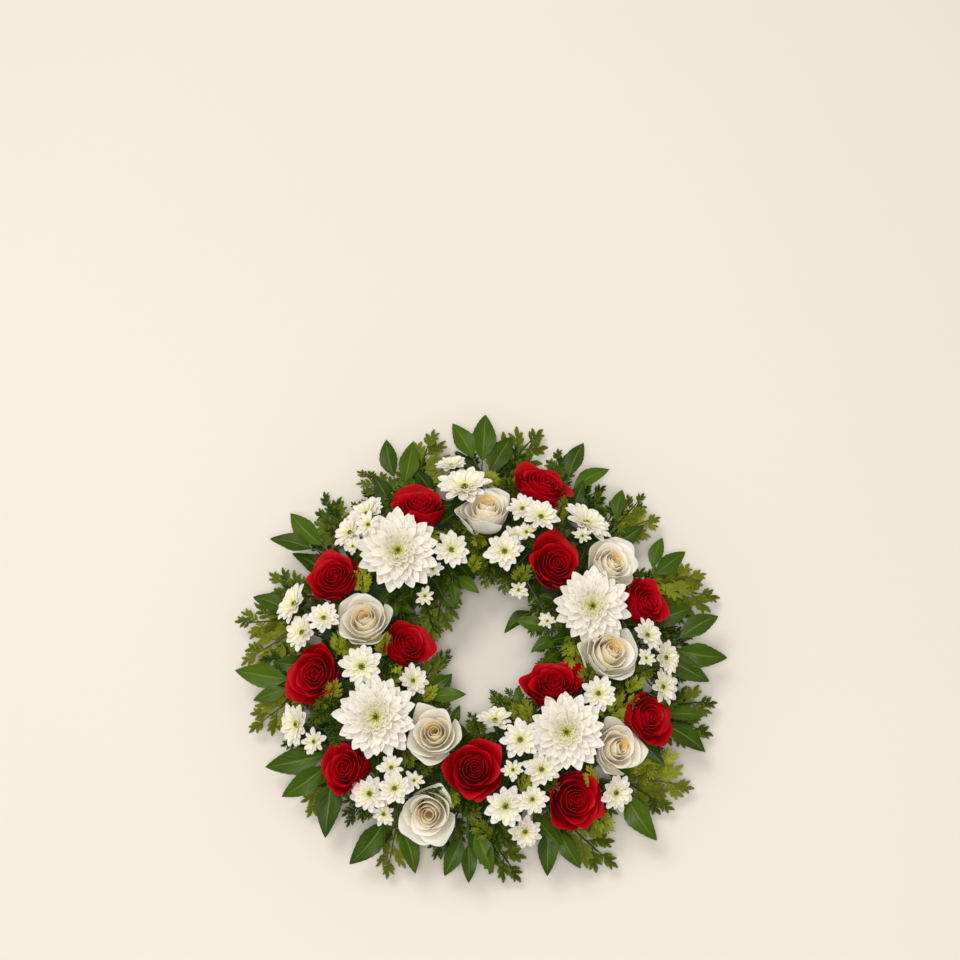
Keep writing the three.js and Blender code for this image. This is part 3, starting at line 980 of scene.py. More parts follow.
def eye_material() -> bpy.types.Material:
    """Makes the finish of a flower's eye: yellow florets round a dark green middle."""
    paint = Paint("chrysanthemum eye florets")
    ring = paint.mix(paint.smooth(paint.layer, 0.2, 0.55), "#3a4a04", "#b6c02a")
    ring = paint.mix(paint.smooth(paint.layer, 0.55, 1.0), ring, "#e6e468")
    tips = paint.mix(paint.smooth(paint.along, 0.4, 1.0), ring, "#ecea84")
    colour = paint.mix(paint.smooth(paint.layer, 0.4, 0.8), ring, tips)
    return paint.surface(colour, Roughness=0.6, Subsurface_Weight=0.15, Subsurface_Scale=0.001)


def broad_leaf_material() -> bpy.types.Material:
    """Makes the finish of a broad leaf: glossy dark green with a paler midrib and side veins."""
    paint = Paint("glossy broad leaf")
    slant = paint.maths("MULTIPLY_ADD", paint.side, -2.6, paint.maths("MULTIPLY", paint.along, 9.0))
    ridge = paint.maths("PINGPONG", slant, 0.5)
    vein = paint.maths("MULTIPLY", paint.smooth(ridge, 0.1, 0.0), paint.smooth(paint.side, 1.0, 0.5))
    midrib = paint.smooth(paint.side, 0.12, 0.03)
    cloud = paint.noise(paint.stretched(3.0, 3.0), 1.0)
    # Darker at low tones; leaves that lie between or under the flowers get low tones, which paints their shade
    colour = paint.mix(paint.tone, "#142600", "#425e04")
    colour = paint.mix(paint.maths("MULTIPLY", paint.smooth(cloud, 0.4, 0.75), 0.3), colour, "#4c6a0a")
    colour = paint.mix(paint.maths("MULTIPLY", vein, 0.3), colour, "#5c7a16")
    colour = paint.mix(paint.maths("MULTIPLY", midrib, 0.4), colour, "#74902c")
    height = paint.maths("ADD", paint.maths("MULTIPLY", vein, -0.6), paint.maths("MULTIPLY", midrib, -1.0))
    return paint.surface(
        colour,
        Roughness=0.36,
        Specular_IOR_Level=0.16,
        Normal=paint.relief(height, 0.0006, 0.6),
    )


def fern_material() -> bpy.types.Material:
    """Makes the finish of a fern sprig: olive green, or a bright yellow green in young sprigs, with painted
    shade along the middle of each lobe.
    """
    paint = Paint("fern sprig")
    colour = paint.mix(paint.smooth(paint.tone, 0.1, 0.9), "#1c3202", "#989e28")
    tips = paint.mix(0.4, colour, "#768816")
    colour = paint.mix(paint.smooth(paint.along, 0.3, 1.0), colour, tips)
    # Painted shade: darker along the middle of each lobe, as in the crease of a fold
    fold = paint.maths("MULTIPLY", paint.smooth(paint.side, 0.3, 0.0), 0.3)
    colour = paint.mix(fold, colour, "#1e2c00")
    return paint.surface(colour, Roughness=0.5, Specular_IOR_Level=0.08)


def stem_material() -> bpy.types.Material:
    """Makes the finish of a cut stem: mid green with long darker streaks."""
    paint = Paint("cut green stem")
    streak = paint.noise(paint.stretched(6.0, 14.0), 1.0)
    colour = paint.mix(paint.smooth(streak, 0.35, 0.7), "#1f3a0c", "#3c621c")
    return paint.surface(colour, Roughness=0.5, Normal=paint.relief(streak, 0.0003, 0.4))


def foam_material() -> bpy.types.Material:
    """Makes the finish of wet flower foam: dull green, open and crumbly."""
    paint = Paint("wet flower foam")
    grain = paint.noise(paint.coordinates(), 900.0, 4.0)
    cloud = paint.noise(paint.coordinates(), 30.0)
    colour = paint.mix(paint.smooth(cloud, 0.3, 0.7), "#20381a", "#2c4a24")
    colour = paint.mix(paint.smooth(grain, 0.6, 0.35), colour, "#142612")
    return paint.surface(colour, Roughness=0.95, Normal=paint.relief(grain, 0.0008, 0.8))


def tray_material() -> bpy.types.Material:
    """Makes the finish of the moulded tray: dark green plastic, faintly clouded, with a soft sheen."""
    paint = Paint("dark green moulded plastic")
    cloud = paint.noise(paint.coordinates(), 18.0)
    fine = paint.noise(paint.coordinates(), 500.0)
    colour = paint.mix(paint.smooth(cloud, 0.3, 0.7), "#18281c", "#22382a")
    worn = paint.spread(cloud, 0.42, 0.6)
    return paint.surface(colour, Roughness=worn, Normal=paint.relief(fine, 0.0002, 0.3))


def make_palette() -> Palette:
    """Makes the material of each finish."""
    return {
        Finish.RED_PETAL: RED_PETAL.material(),
        Finish.CREAM_PETAL: CREAM_PETAL.material(),
        Finish.WHITE_PETAL: WHITE_PETAL.material(),
        Finish.EYE_FLORET: eye_material(),
        Finish.BROAD_LEAF: broad_leaf_material(),
        Finish.FERN: fern_material(),
        Finish.STEM: stem_material(),
    }


# Flowers


@dataclass(frozen=True)
class Flower:
    """A flower head, in millimetres and degrees.

    Attributes:
        x: How far right of the ring's middle its face is.
        y: How far above the ring's middle its face is.
        radius: Its radius.
        lean: How far it leans.
        toward: The direction that it leans to.
        rise: How far it stands above the crown.
    """

    x: float
    y: float
    radius: float
    lean: float
    toward: float
    rise: float = 0.0

    @property
    def axis(self) -> Vector:
        """The way that the flower looks."""
        lean = math.radians(self.lean)
        return polar(self.toward, math.sin(lean), math.cos(lean)) / MM

    @property
    def face(self) -> Vector:
        """The middle of the flower's face, in metres."""
        height = crown_height(math.hypot(self.x, self.y)) + self.rise
        return Vector((self.x, self.y, height)) * MM

    def back(self, kind: Bloom) -> Vector:
        """The foot of the flower's head, in metres."""
        return self.face - self.axis * self.radius * kind.value * MM

    @property
    def lower_side(self) -> tuple[float, float]:
        """The angle about its axis of its lower side, and how strongly it hangs that way, from 0 to 1."""
        hang = -self.axis.xy + Vector((0, -math.sin(VIEW_TILT)))
        return math.atan2(hang.y, hang.x), min(1.0, hang.length / FULL_HANG)

    def matrix(self, kind: Bloom, spin: float) -> Matrix:
        """Returns the matrix that sets a head of one unit's radius, its foot at the origin, in its place.

        Args:
            kind: The kind of head.
            spin: How far it is turned about its own axis.

        Returns:
            The matrix.
        """
        turn = UP.rotation_difference(self.axis).to_matrix().to_4x4()
        place = Matrix.Translation(self.back(kind)) @ turn
        return place @ Matrix.Rotation(spin, 4, "Z") @ Matrix.Scale(self.radius * MM, 4)


def root_of(point: Vector) -> Vector:
    """Returns the place in the foam that a stem from a point above is pushed to."""
    clock = math.degrees(math.atan2(point.y, point.x))
    distance = min(max(math.hypot(point.x, point.y) / MM, ROOT_NEAREST), ROOT_FARTHEST)
    return polar(clock, distance, FOAM_TOP - STEM_DEPTH)


RED_ROSES = (
    Flower(-70, 156, 31, 36, 95),
    Flower(72, 185, 32, 40, 60),
    Flower(-165, 72, 31, 20, 145),
    Flower(84, 84, 32, 12, 10),
    Flower(187, 43, 30, 38, 8),
    Flower(-78, -2, 29, 28, 25),
    Flower(79, -46, 32, 24, 95),
    Flower(-184, -38, 33, 20, 190),
    Flower(186, -83, 32, 34, -5),
    Flower(-150, -140, 31, 27, 180),
    Flower(-8, -143, 33, 3, -90),
    Flower(102, -174, 34, 21, -34),
)
WHITE_ROSES = (
    Flower(-129, 22, 32, 10, 130),
    Flower(5, 150, 32, 24, 90),
    Flower(147, 86, 30, 20, 15),
    Flower(142, -14, 34, 16, 22),
    Flower(149, -119, 31, 21, -16),
    Flower(-52, -104, 32, 6, 180),
    Flower(-58, -191, 32, 23, -113),
)
CHRYSANTHEMUMS = (
    Flower(-91, 97, 45, 6, -60, 4),
    Flower(122, 35, 41, 6, -90, 0),
    Flower(91, -105, 42, 9, -110, 4),
    Flower(-113, -88, 44, 6, -90, 2),
)
SPRAYS = (
    (
        Flower(-125, 126, 15, 13, 150, 12),
        Flower(-130, 149, 23, 45, 125, -4),
        Flower(-149, 124, 21, 42, 160, -3),
        Flower(-142, 103, 10, 20, 180, 2),
    ),
    (Flower(-32, 99, 20, 14, -50), Flower(-53, 79, 11, 10, -60, -4), Flower(-61, 49, 11, 20, -45)),
    (Flower(-172, 23, 18, 15, 120, 4), Flower(-199, 10, 20, 35, 175), Flower(-211, 46, 24, 50, 160)),
    (Flower(-19, 178, 30, 38, 100), Flower(-34, 208, 18, 48, 98, -5)),
    (Flower(67, 136, 20, 22, 60, 7), Flower(46, 148, 17, 20, 90, -3), Flower(50, 119, 12, 8, 90, -2)),
    (
        Flower(26, 98, 21, 6, -90),
        Flower(38, 117, 13, 15, 60, -11),
        Flower(41, 57, 11, 15, -130),
        Flower(72, 22, 10, 15, 180),
    ),
    (Flower(121, 137, 29, 48, 50, -6), Flower(112, 113, 11, 20, 45, 6)),
    (
        Flower(184, 5, 19, 40, 20, 3),
        Flower(180, -22, 11, 20, 0, 3),
        Flower(206, -17, 19, 45, 0, -4),
        Flower(202, -49, 20, 45, 5, -4),
    ),
    (Flower(127, -62, 19, 10, -10),),
    (
        Flower(15, -85, 20, 45, 95),
        Flower(42, -111, 21, 5, 90),
        Flower(34, -144, 12, 5, -90, -3),
        Flower(65, -143, 19, 10, -60, -6),
    ),
    (Flower(26, -183, 22, 20, -95), Flower(55, -176, 16, 18, -60, 7), Flower(48, -208, 18, 35, -75, -4)),
    (Flower(148, -165, 20, 35, -30),),
    (Flower(-129, -33, 23, 8, -90),),
    (Flower(-72, -45, 17, 25, 10),),
    (Flower(-182, -111, 15, 28, 200, 6), Flower(-206, -89, 24, 50, 190, -3)),
    (
        Flower(-92, -164, 18, 12, -90, 9),
        Flower(-121, -167, 20, 22, -140, -1),
        Flower(-96, -140, 15, 8, 90, -3),
        Flower(-71, -155, 11, 12, -45, -1),
        Flower(-105, -188, 14, 25, -110, -4),
    ),
)
ALL_ROSES = RED_ROSES + WHITE_ROSES
ALL_FLOWERS = ALL_ROSES + CHRYSANTHEMUMS + tuple(f for spray in SPRAYS for f in spray)


# The petals of the chrysanthemums: the long ones, the short ones at the heart, and a small bloom's
LONG_PETAL = BladeShape(
    half_width=0.17,
    widest=0.68,
    foot=0.45,
    fullness=2.3,
    cup=0.45,
    curl=0.08,
    thickness=0.011,
    along=7,
)
SHORT_PETAL = BladeShape(
    half_width=0.27,
    widest=0.66,
    foot=0.6,
    fullness=2.6,
    cup=0.5,
    curl=0.3,
    thickness=0.02,
    along=6,
)
SPRAY_PETAL = BladeShape(
    half_width=0.21,
    widest=0.68,
    foot=0.4,
    fullness=2.6,
    cup=0.4,
    curl=0.06,
    thickness=0.02,
    along=6,
)


@dataclass
class Nursery:
    """Grows the heads, leaves and sprigs that the pieces are made of, each one unit in size.

    Attributes:
        palette: The material of each finish.
        whorl: The tree that sets petals round an axis.
        sprig: The tree that sets blades along a stalk.
    """

    palette: Palette
    whorl: Tree = field(default_factory=whorl_tree)
    sprig: Tree = field(default_factory=sprig_tree)

    def grow(self, tree: Tree, blade: Skin, finish: Finish, **inputs: Any) -> Skin:
        """Grows a skin from copies of a blade.

        Args:
            tree: The tree that sets the copies.
            blade: The blade.
            finish: The finish of the whole.
            inputs: The tree's other inputs.

        Returns:
            The skin.
        """
        pattern = blade.object("pattern", self.palette, bare=True)
        skin = tree.grow(self.palette, blade=pattern, finish=finish, **inputs)
        bpy.data.objects.remove(pattern)
        return skin

    def eye(self, radius: float, low: float, high: float, count: int, seed: int) -> Skin:
        """Grows the eye of a flower: small florets on a dome.

        Args:
            radius: The eye's radius.
            low: The height of its rim.
            high: The height of its middle.
            count: How many florets it has.
            seed: Its seed.

        Returns:
            The skin.
        """
        floret = lobe(0.34, 0.5, 0.5, Finish.EYE_FLORET)
        florets = self.grow(
            self.whorl,
            floret,
            Finish.EYE_FLORET,
            count=count,
            inner_radius=radius * 0.05,
            outer_radius=radius * 0.86,
            inner_height=high - 0.5 * radius,
            outer_height=low,
            inner_tilt=1.5,
            outer_tilt=0.75,
            inner_size=radius * 0.34,
            outer_size=radius * 0.56,
            opening=0.6,
            unevenness=0.12,
            seed=seed,
        )
        heights = [low - 0.6 * radius, low - 0.1 * radius, high - 0.55 * radius, high - 0.4 * radius]
        radii = [0.5 * radius, radius, 0.75 * radius, 0.3 * radius]
        dome = tube([Vector((0, 0, z)) for z in heights], radii, Finish.EYE_FLORET, 10)
        return Skin.joined([florets, replace(dome, layer=np.zeros(len(dome.points)))])

    def calyx(self, width: float, height: float) -> Skin:
        """Makes the green cup under a head."""
        shares = [(0.0, 0.35), (0.35, 0.75), (0.75, 1.0), (1.0, 0.9)]
        path = [Vector((0, 0, s * height)) for s, _ in shares]
        return tube(path, [w * width for _, w in shares], Finish.STEM, 8)

    def chrysanthemum(self, seed: int) -> Skin:
        """Grows a large chrysanthemum's head.

        Args:
            seed: Its seed.

        Returns:
            The skin, its foot at the origin and its face up.
        """
        outer = self.grow(
            self.whorl,
            LONG_PETAL.skin(Finish.WHITE_PETAL),
            Finish.WHITE_PETAL,
            count=54,
            inner_radius=0.14,
            outer_radius=0.1,
            inner_height=0.22,
            outer_height=0.14,
            inner_tilt=0.42,
            outer_tilt=0.02,
            inner_size=0.6,
            outer_size=0.99,
            opening=0.8,
            unevenness=0.07,
            seed=seed,
        )
        inner = self.grow(
            self.whorl,
            SHORT_PETAL.skin(Finish.WHITE_PETAL),
            Finish.WHITE_PETAL,
            count=46,
            inner_radius=0.11,
            outer_radius=0.13,
            inner_height=0.3,
            outer_height=0.24,
            inner_tilt=0.78,
            outer_tilt=0.38,
            inner_size=0.19,
            outer_size=0.5,
            opening=0.9,
            unevenness=0.08,
            seed=seed + 7,
        )
        outer = replace(outer, layer=0.5 + outer.layer * 0.5)
        inner = replace(inner, layer=inner.layer * 0.5)
        return Skin.joined([outer, inner, self.eye(0.11, 0.32, 0.38, 40, seed + 40), self.calyx(0.26, 0.2)])

    def bloom(self, seed: int, count: int = 32) -> Skin:
        """Grows a small bloom's head.

        Args:
            seed: Its seed.
            count: How many petals it has.

        Returns:
            The skin, its foot at the origin and its face up.
        """
        petals = self.grow(
            self.whorl,
            SPRAY_PETAL.skin(Finish.WHITE_PETAL),
            Finish.WHITE_PETAL,
            count=count,
            inner_radius=0.17,
            outer_radius=0.12,
            inner_height=0.4,
            outer_height=0.32,
            inner_tilt=0.62,
            outer_tilt=0.1,
            inner_size=0.46,
            outer_size=1.04,
            opening=0.8,
            unevenness=0.11,
            seed=seed,
        )
        return Skin.joined([petals, self.eye(0.17, 0.42, 0.52, 22, seed + 40), self.calyx(0.24, 0.36)])

    def frond(self, seed: int) -> Skin:
        """Grows a fern sprig along X, facing up.

        Args:
            seed: Its seed.

        Returns:
            The skin.
        """
        leaflet = self.grow(
            self.sprig,
            lobe(0.24, 0.1, 0.35, Finish.FERN),
            Finish.FERN,
            count=6,
            length=0.7,
            bend=0.1,
            base_angle=0.8,
            tip_angle=0.65,
            base_size=0.34,
            middle_size=0.06,
            tip_size=0.4,
            stalk_radius=0.026,
            bare_share=0.24,
            unevenness=0.1,
            seed=seed,
        )
        return self.grow(
            self.sprig,
            leaflet,
            Finish.FERN,
            count=8,
            length=0.8,
            bend=0.08,
            base_angle=0.82,
            tip_angle=0.6,
            base_size=0.28,
            middle_size=0.09,
            tip_size=0.28,
            stalk_radius=0.012,
            bare_share=0.22,
            unevenness=0.12,
            seed=seed + 20,
        )

    def leaf(self, seed: int) -> Skin:
        """Makes a broad leaf on its stalk along X, facing up.

        Args:
            seed: Its seed.

        Returns:
            The skin.
        """
        chance = np.random.default_rng(seed)
        shape = BladeShape(
            half_width=0.23 + 0.04 * chance.random(),
            widest=0.42,
            foot=0.12,
            fullness=1.35,
            cup=-0.1,
            curl=0.0,
            arch=0.07 + 0.06 * chance.random(),
            fold=0.3,
            thickness=0.012,
            teeth=0.055,
            across=7,
            along=19,
        )
        bare = 0.3
        place = Matrix.Translation((bare, 0, 0)) @ Matrix.Scale(1 - bare, 4)
        blade = shape.skin(Finish.BROAD_LEAF).moved(place)
        stalk = [Vector((0, 0, 0)), Vector((0.18, 0, 0.002)), Vector((0.36, 0, 0.004))]
        return Skin.joined([blade, tube(stalk, [0.012, 0.011, 0.008])])


@dataclass(frozen=True)
class RoseForm:
    """The form of a kind of rose.

    Attributes:
        finish: The finish of its petals.
        petals: How many petals it has.
        heart: The radius of its innermost petal, as a share.
        opening: How far its outer petals open outwards.
        closing: How far its heart closes over on its lower side.
        ruffle: How wavy its rims are.
        point: How far the middle of each rim runs out to a point.
    """

    finish: Finish
    petals: int
    heart: float
    opening: float
    closing: float
    ruffle: float
    point: float


RED_FORM = RoseForm(
    Finish.RED_PETAL,
    petals=22,
    heart=0.07,
    opening=0.42,
    closing=0.5,
    ruffle=0.024,
    point=0.12,
)
CREAM_FORM = RoseForm(
    Finish.CREAM_PETAL,
    petals=17,
    heart=0.18,
    opening=0.4,
    closing=1.5,
    ruffle=0.02,
    point=0.09,
)


# Half the turn of an outermost and an innermost rose petal, in degrees
OUTER_SPAN = 58
HEART_SPAN = 134

# Up to which share of the petals the heart goes, and from which they start to open
HEART_UNTIL = 0.5
OPEN_FROM = 0.4

# A rose petal's form: how far out the outermost stands, how thick it is, how far the corners of its rim fall,
# how wide the point of its rim is, how far its rim rolls out and down, how far the heart's petals stand to one
# side, and how wide the finished head is
ROSE_REACH = 0.84
PETAL_THICKNESS = 0.013
CORNER_FALL = 0.24
POINT_WIDTH = 0.24
ROLL_OUT = 0.1
ROLL_DOWN = 0.085
HEART_DRIFT = 0.06
OPEN_WIDTH = 1.06

# From where along a petal its rim rolls
ROLL_FROM = 0.74


@dataclass
class Rose:
    """A rose's head, its foot at the origin and its face up, one unit in radius.

    Attributes:
        form: The form of its kind.
        seed: Its seed.
        below: The angle about its axis of its lower side, where its petals stay upright.
        droop: How much more upright they stay there, from 0 to 1.
        across: Points across a petal.
        along: Points along a petal.
    """

    form: RoseForm
    seed: int
    below: float = 0.0
    droop: float = 0.0
    across: int = 21
    along: int = 9

    def __post_init__(self) -> None:
        """Starts the chance values."""
        self.chance = np.random.default_rng(self.seed)

    def within(self, low: float, high: float) -> float:
        """Returns the next chance value between two."""
        return low + (high - low) * self.chance.random()

    def petal(self, share: float, angle: float) -> Skin:
        """Makes one petal, a piece of a cup round the axis.

        Args:
            share: How far out it stands, from 0 at the heart to 1.
            angle: Where its middle is.

        Returns:
            The skin.
        """
        form, within = self.form, self.within
        steps = crowded(self.along, 1.4)
        u, s = np.meshgrid(np.linspace(-1, 1, self.across), steps, indexing="ij")
        inner = max(0.0, 1 - share / HEART_UNTIL)
        outer = min(1.0, max(0.0, (share - OPEN_FROM) / 0.5))

        # How far round the axis it goes, and how upright each part of it stays
        span = OUTER_SPAN + (HEART_SPAN - OUTER_SPAN) * (1 - share) ** 1.6
        half = math.radians(span) * within(0.92, 1.08)
        turn = angle + half * u
        shut = (0.5 + 0.5 * np.cos(turn - self.below)) ** 1.5 * self.droop

        # The cup that it is a piece of, whose rim runs out to a point
        reach = (form.heart + (ROSE_REACH - form.heart) * share**1.15) * within(0.97, 1.03)
        opening = form.opening * outer * within(0.75, 1.25)
        beside = (u - within(-0.2, 0.2)) / POINT_WIDTH
        tip = form.point * (0.3 + 0.7 * share) * np.exp(-(beside**2))
        s = s * (1 - CORNER_FALL * np.abs(u) ** 3 + tip)
        tall = Bloom.ROSE.value * (0.88 + 0.09 * math.sin(math.pi * share) - 0.12 * outer)
        tall *= within(0.98, 1.02)
        rim = reach * (0.94 + opening * (1 - 1.1 * shut) - form.closing * inner * shut)
        radius = bezier(s, (0.06, reach * 0.98, reach * 1.06, rim))
        height = bezier(s, (0.1, 0.16, 0.72 * tall, tall))
        height = height + (0.08 * form.closing * inner + 0.2 * outer * s) * shut * s**2

        # Its rim rolls back and waves
        rolled = np.clip((s - ROLL_FROM) / (1 - ROLL_FROM), 0, 1.4) ** 2
        roll = rolled * min(1.0, 0.1 + 1.1 * share) * within(0.6, 1.2)
        phase = within(0, math.tau)
        lean = 0.4 + share
        sweep = half * u * lean
        wave = form.ruffle * (0.25 + 1.2 * share) * s**2
        radius = (radius + ROLL_OUT * roll) * (1 + 0.08 * u * lean) + wave * np.sin(3.4 * sweep + phase)
        height = height - ROLL_DOWN * roll + wave * np.sin(4.6 * sweep + phase * 2)
        drift = HEART_DRIFT * (1 - share) * s
        points = np.stack([radius * np.cos(turn) + drift, radius * np.sin(turn), height], axis=2)
        return thin_shell(points, PETAL_THICKNESS, form.finish, share, within(0, 1))

    def skin(self) -> Skin:
        """Makes the head.

        Returns:
            The petals, the hip and the sepals.
        """
        parts = []
        start = self.within(0, 6.28)
        for i in range(self.form.petals):
            share = i / (self.form.petals - 1)
            angle = start + i * GOLDEN_TURN + self.within(-0.25, 0.25)
            parts.append(self.petal(share, angle))
        outermost = parts[-5:]
        reach = np.mean([np.hypot(p.points[:, 0], p.points[:, 1]).max() for p in outermost])
        width = OPEN_WIDTH / reach
        parts = [p.moved(Matrix.Diagonal((width, width, 1, 1))) for p in parts]
        hip = [(-0.06, 0.07), (0.0, 0.16), (0.1, 0.22), (0.2, 0.2)]
        parts.append(tube([Vector((0, 0, z)) for z, _ in hip], [r for _, r in hip], Finish.STEM, 8))
        sepal = BladeShape(0.13, widest=0.25, foot=0.8, fullness=1.2, cup=0.6, curl=-0.3, thickness=0.02)
        for i in range(5):
            blade = sepal.skin(Finish.STEM)
            lean = Matrix.Rotation(i * math.tau / 5 + start, 4, "Z") @ Matrix.Translation((0.15, 0, 0.08))
            parts.append(blade.moved(lean @ Matrix.Rotation(-0.35, 4, "Y") @ Matrix.Scale(0.55, 4)))
        return Skin.joined(parts)


# Pieces


def numbered(word: str, index: int) -> str:
    """Returns a node's name."""
    return f"{word}_{index + 1:02d}"


@dataclass
class Bench:
    """Where pieces are put into the scene.

    Attributes:
        palette: The material of each finish.
        centre: The middle of the foam ring, in metres.
    """

    palette: Palette
    centre: Vector

    def place(self, name: str, slot: str, skins: list[Skin], node: str | None = None) -> bpy.types.Object:
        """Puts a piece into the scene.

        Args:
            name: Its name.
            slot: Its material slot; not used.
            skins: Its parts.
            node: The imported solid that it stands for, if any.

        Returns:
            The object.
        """
        skin = Skin.joined(skins).moved(Matrix.Translation(self.centre))
        piece = skin.object(name, self.palette)
        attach(piece, "root")
        if node:
            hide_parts(node)
        LOG.info("%s: %d faces, lowest %.1f mm", name, len(skin.quads), skin.points[:, 2].min() / MM)
        return piece


# The radius of each kind of flower stem and how far it runs into the head, in millimetres
ROSE_STEM = (2.4, 2)
CHRYSANTHEMUM_STEM = (2.3, 4)
SPRAY_STEM = (1.6, 3)
SPRAY_BRANCH = (1.0, 3)

# The radii of the greenery's stems, and of the smallest full bloom and the largest, in millimetres
GREENERY_STEM = 1.9
STALK = 1.2
FULL_BLOOM = 16
LARGEST_FULL_BLOOM = 27

# Where a spray's branches start: how far above the foam the first does, in millimetres, and the last, as a
# share of the stem
FIRST_FORK = 2
LAST_FORK = 0.9


def stem_into(flower: Flower, back: Vector, start: Vector, form: tuple[float, float]) -> Skin:
    """Makes the stem of a flower.

    Args:
        flower: The flower.
        back: The foot of its head, in metres.
        start: Where the stem starts, in metres.
        form: Its radius and how far it runs into the head, in millimetres.

    Returns:
        The skin.
    """
    radius, inside = form
    path = arc(start, back + flower.axis * inside * MM, flower.axis)
    return tube(path, [radius * MM] * len(path))


def pressed(head: Skin, flower: Flower, neighbours: Sequence[Flower]) -> Skin:
    """Presses a rose's head softly back from its neighbours.

    It ends halfway to another rose, and under the rim of any other flower.

    Args:
        head: The head, in its place.
        flower: The flower that it is.
        neighbours: The flowers that it may meet.

    Returns:
        The head, which stays clear of them.
    """
    points = head.points.copy()
    for other in neighbours:
        apart = Vector((other.x - flower.x, other.y - flower.y))
        if 0 < apart.length < (flower.radius + other.radius) * TOUCHING:
            way = np.array(apart.normalized())
            halfway = apart.length * flower.radius / (flower.radius + other.radius)
            under = max(apart.length - COVER * other.radius, NARROWEST * flower.radius)
            limit = (halfway if other in ALL_ROSES else min(halfway, under)) * MM
            along = (points[:, :2] - np.array((flower.x, flower.y)) * MM) @ way
            soft = PRESSED * MM
            over = np.maximum(along - limit + soft, 0)
            points[:, :2] -= (over - soft * np.tanh(over / soft))[:, None] * way
    return replace(head, points=points)


@dataclass
class Roses:
    """All the roses of one kind.

    Attributes:
        word: What their nodes are called.
        slot: Their material slot.
        form: Their form.
        flowers: Where each one is.
    """

    word: str
    slot: str
    form: RoseForm
    flowers: tuple[Flower, ...]

    def build(self, bench: Bench) -> None:
        """Builds each rose on its stem."""
        for i, flower in enumerate(self.flowers):
            node = numbered(self.word, i)
            below, droop = flower.lower_side
            rose = Rose(self.form, 11 * i + len(self.flowers), below, droop)
            head = pressed(rose.skin().moved(flower.matrix(Bloom.ROSE, 0.0)), flower, ALL_FLOWERS)
            back = flower.back(Bloom.ROSE)
            stem = stem_into(flower, back, root_of(back), ROSE_STEM)
            bench.place(f"{node}_flower", self.slot, [head, stem], node)


@dataclass
class Chrysanthemums:
    """The large chrysanthemums."""

    nursery: Nursery

    def build(self, bench: Bench) -> None:
        """Builds each chrysanthemum on its stem."""
        for i, flower in enumerate(CHRYSANTHEMUMS):
            node = numbered("chrysanthemum", i)
            kind = Bloom.CHRYSANTHEMUM
            head = self.nursery.chrysanthemum(i + 1).moved(flower.matrix(kind, 0.0))
            back = flower.back(kind)
            stem = stem_into(flower, back, root_of(back), CHRYSANTHEMUM_STEM)
            bench.place(f"{node}_flower", "chrysanthemum_petal", [head, stem], node)


@dataclass
class Sprays:
    """The branched stems of small chrysanthemums."""

    nursery: Nursery

    def build(self, bench: Bench) -> None:
        """Builds each spray."""
        chance = np.random.default_rng(5)
        full = [self.nursery.bloom(seed) for seed in range(5)]
        large = [self.nursery.bloom(seed, 40) for seed in range(5, 7)]
        small = [self.nursery.bloom(seed, 17) for seed in range(7, 10)]
        for i, flowers in enumerate(SPRAYS):
            node = numbered("spray_chrysanthemum", i)
            backs = [f.back(Bloom.SPRAY) for f in flowers]
            root = root_of(sum(backs, Vector()) / len(backs))
            first = ((FOAM_TOP + FIRST_FORK) * MM - root.z) / (backs[0].z - root.z)
            skins = []
            for k, flower in enumerate(flowers):
                heads = full
                if flower.radius < FULL_BLOOM:
                    heads = small
                if flower.radius > LARGEST_FULL_BLOOM:
                    heads = large
                head = heads[int(chance.integers(len(heads)))].toned(chance.random())
                skins.append(head.moved(flower.matrix(Bloom.SPRAY, chance.random() * 6.28)))
                fork = first + (LAST_FORK - first) * (k - 1) / max(1, len(flowers) - 1)
                start = root if k == 0 else root.lerp(backs[0], fork)
                form = SPRAY_STEM if k == 0 else SPRAY_BRANCH
                skins.append(stem_into(flower, backs[k], start, form))
            bench.place(f"{node}_flowers", "chrysanthemum_petal", skins, node)


# Greenery


def aim(base: Vector, tip: Vector, roll: float = 0.0) -> Matrix:
    """Returns the matrix that lays a blade of one unit from a base to a tip.

    Args:
        base: The base.
        tip: The tip.
        roll: How far it is turned about its own length.

    Returns:
        The matrix.
    """
    along = tip - base
    x = along.normalized()
    y = UP.cross(x).normalized()
    turn = Matrix((x, y, x.cross(y))).transposed().to_4x4()
    return Matrix.Translation(base) @ turn @ Matrix.Rotation(roll, 4, "X") @ Matrix.Scale(along.length, 4)


@dataclass(frozen=True)
class Bunch:
    """A bunch of greenery: its direction, and the direction and reach of each tip."""

    at: float
    leaves: tuple[tuple[float, float], ...]
    ferns: tuple[tuple[float, float], ...] = ()


@dataclass(frozen=True)
class Ring:
    """Where the bunches on one side of the ring start, meet and end, in millimetres."""

    start: float
    hub: float
    hub_height: float
    tip_height: float


@dataclass(frozen=True)
class ShownSprig:
    """A leaf or sprig between the flowers, in millimetres from the ring's middle.

    Attributes:
        x: Its foot, to the right.
        y: Its foot, upwards.
        to_x: Its tip, to the right.
        to_y: Its tip, upwards.
        bright: A fern's green, from 0 to 1, or None for a broad leaf.
    """

    x: float
    y: float
    to_x: float
    to_y: float
    bright: float | None = None


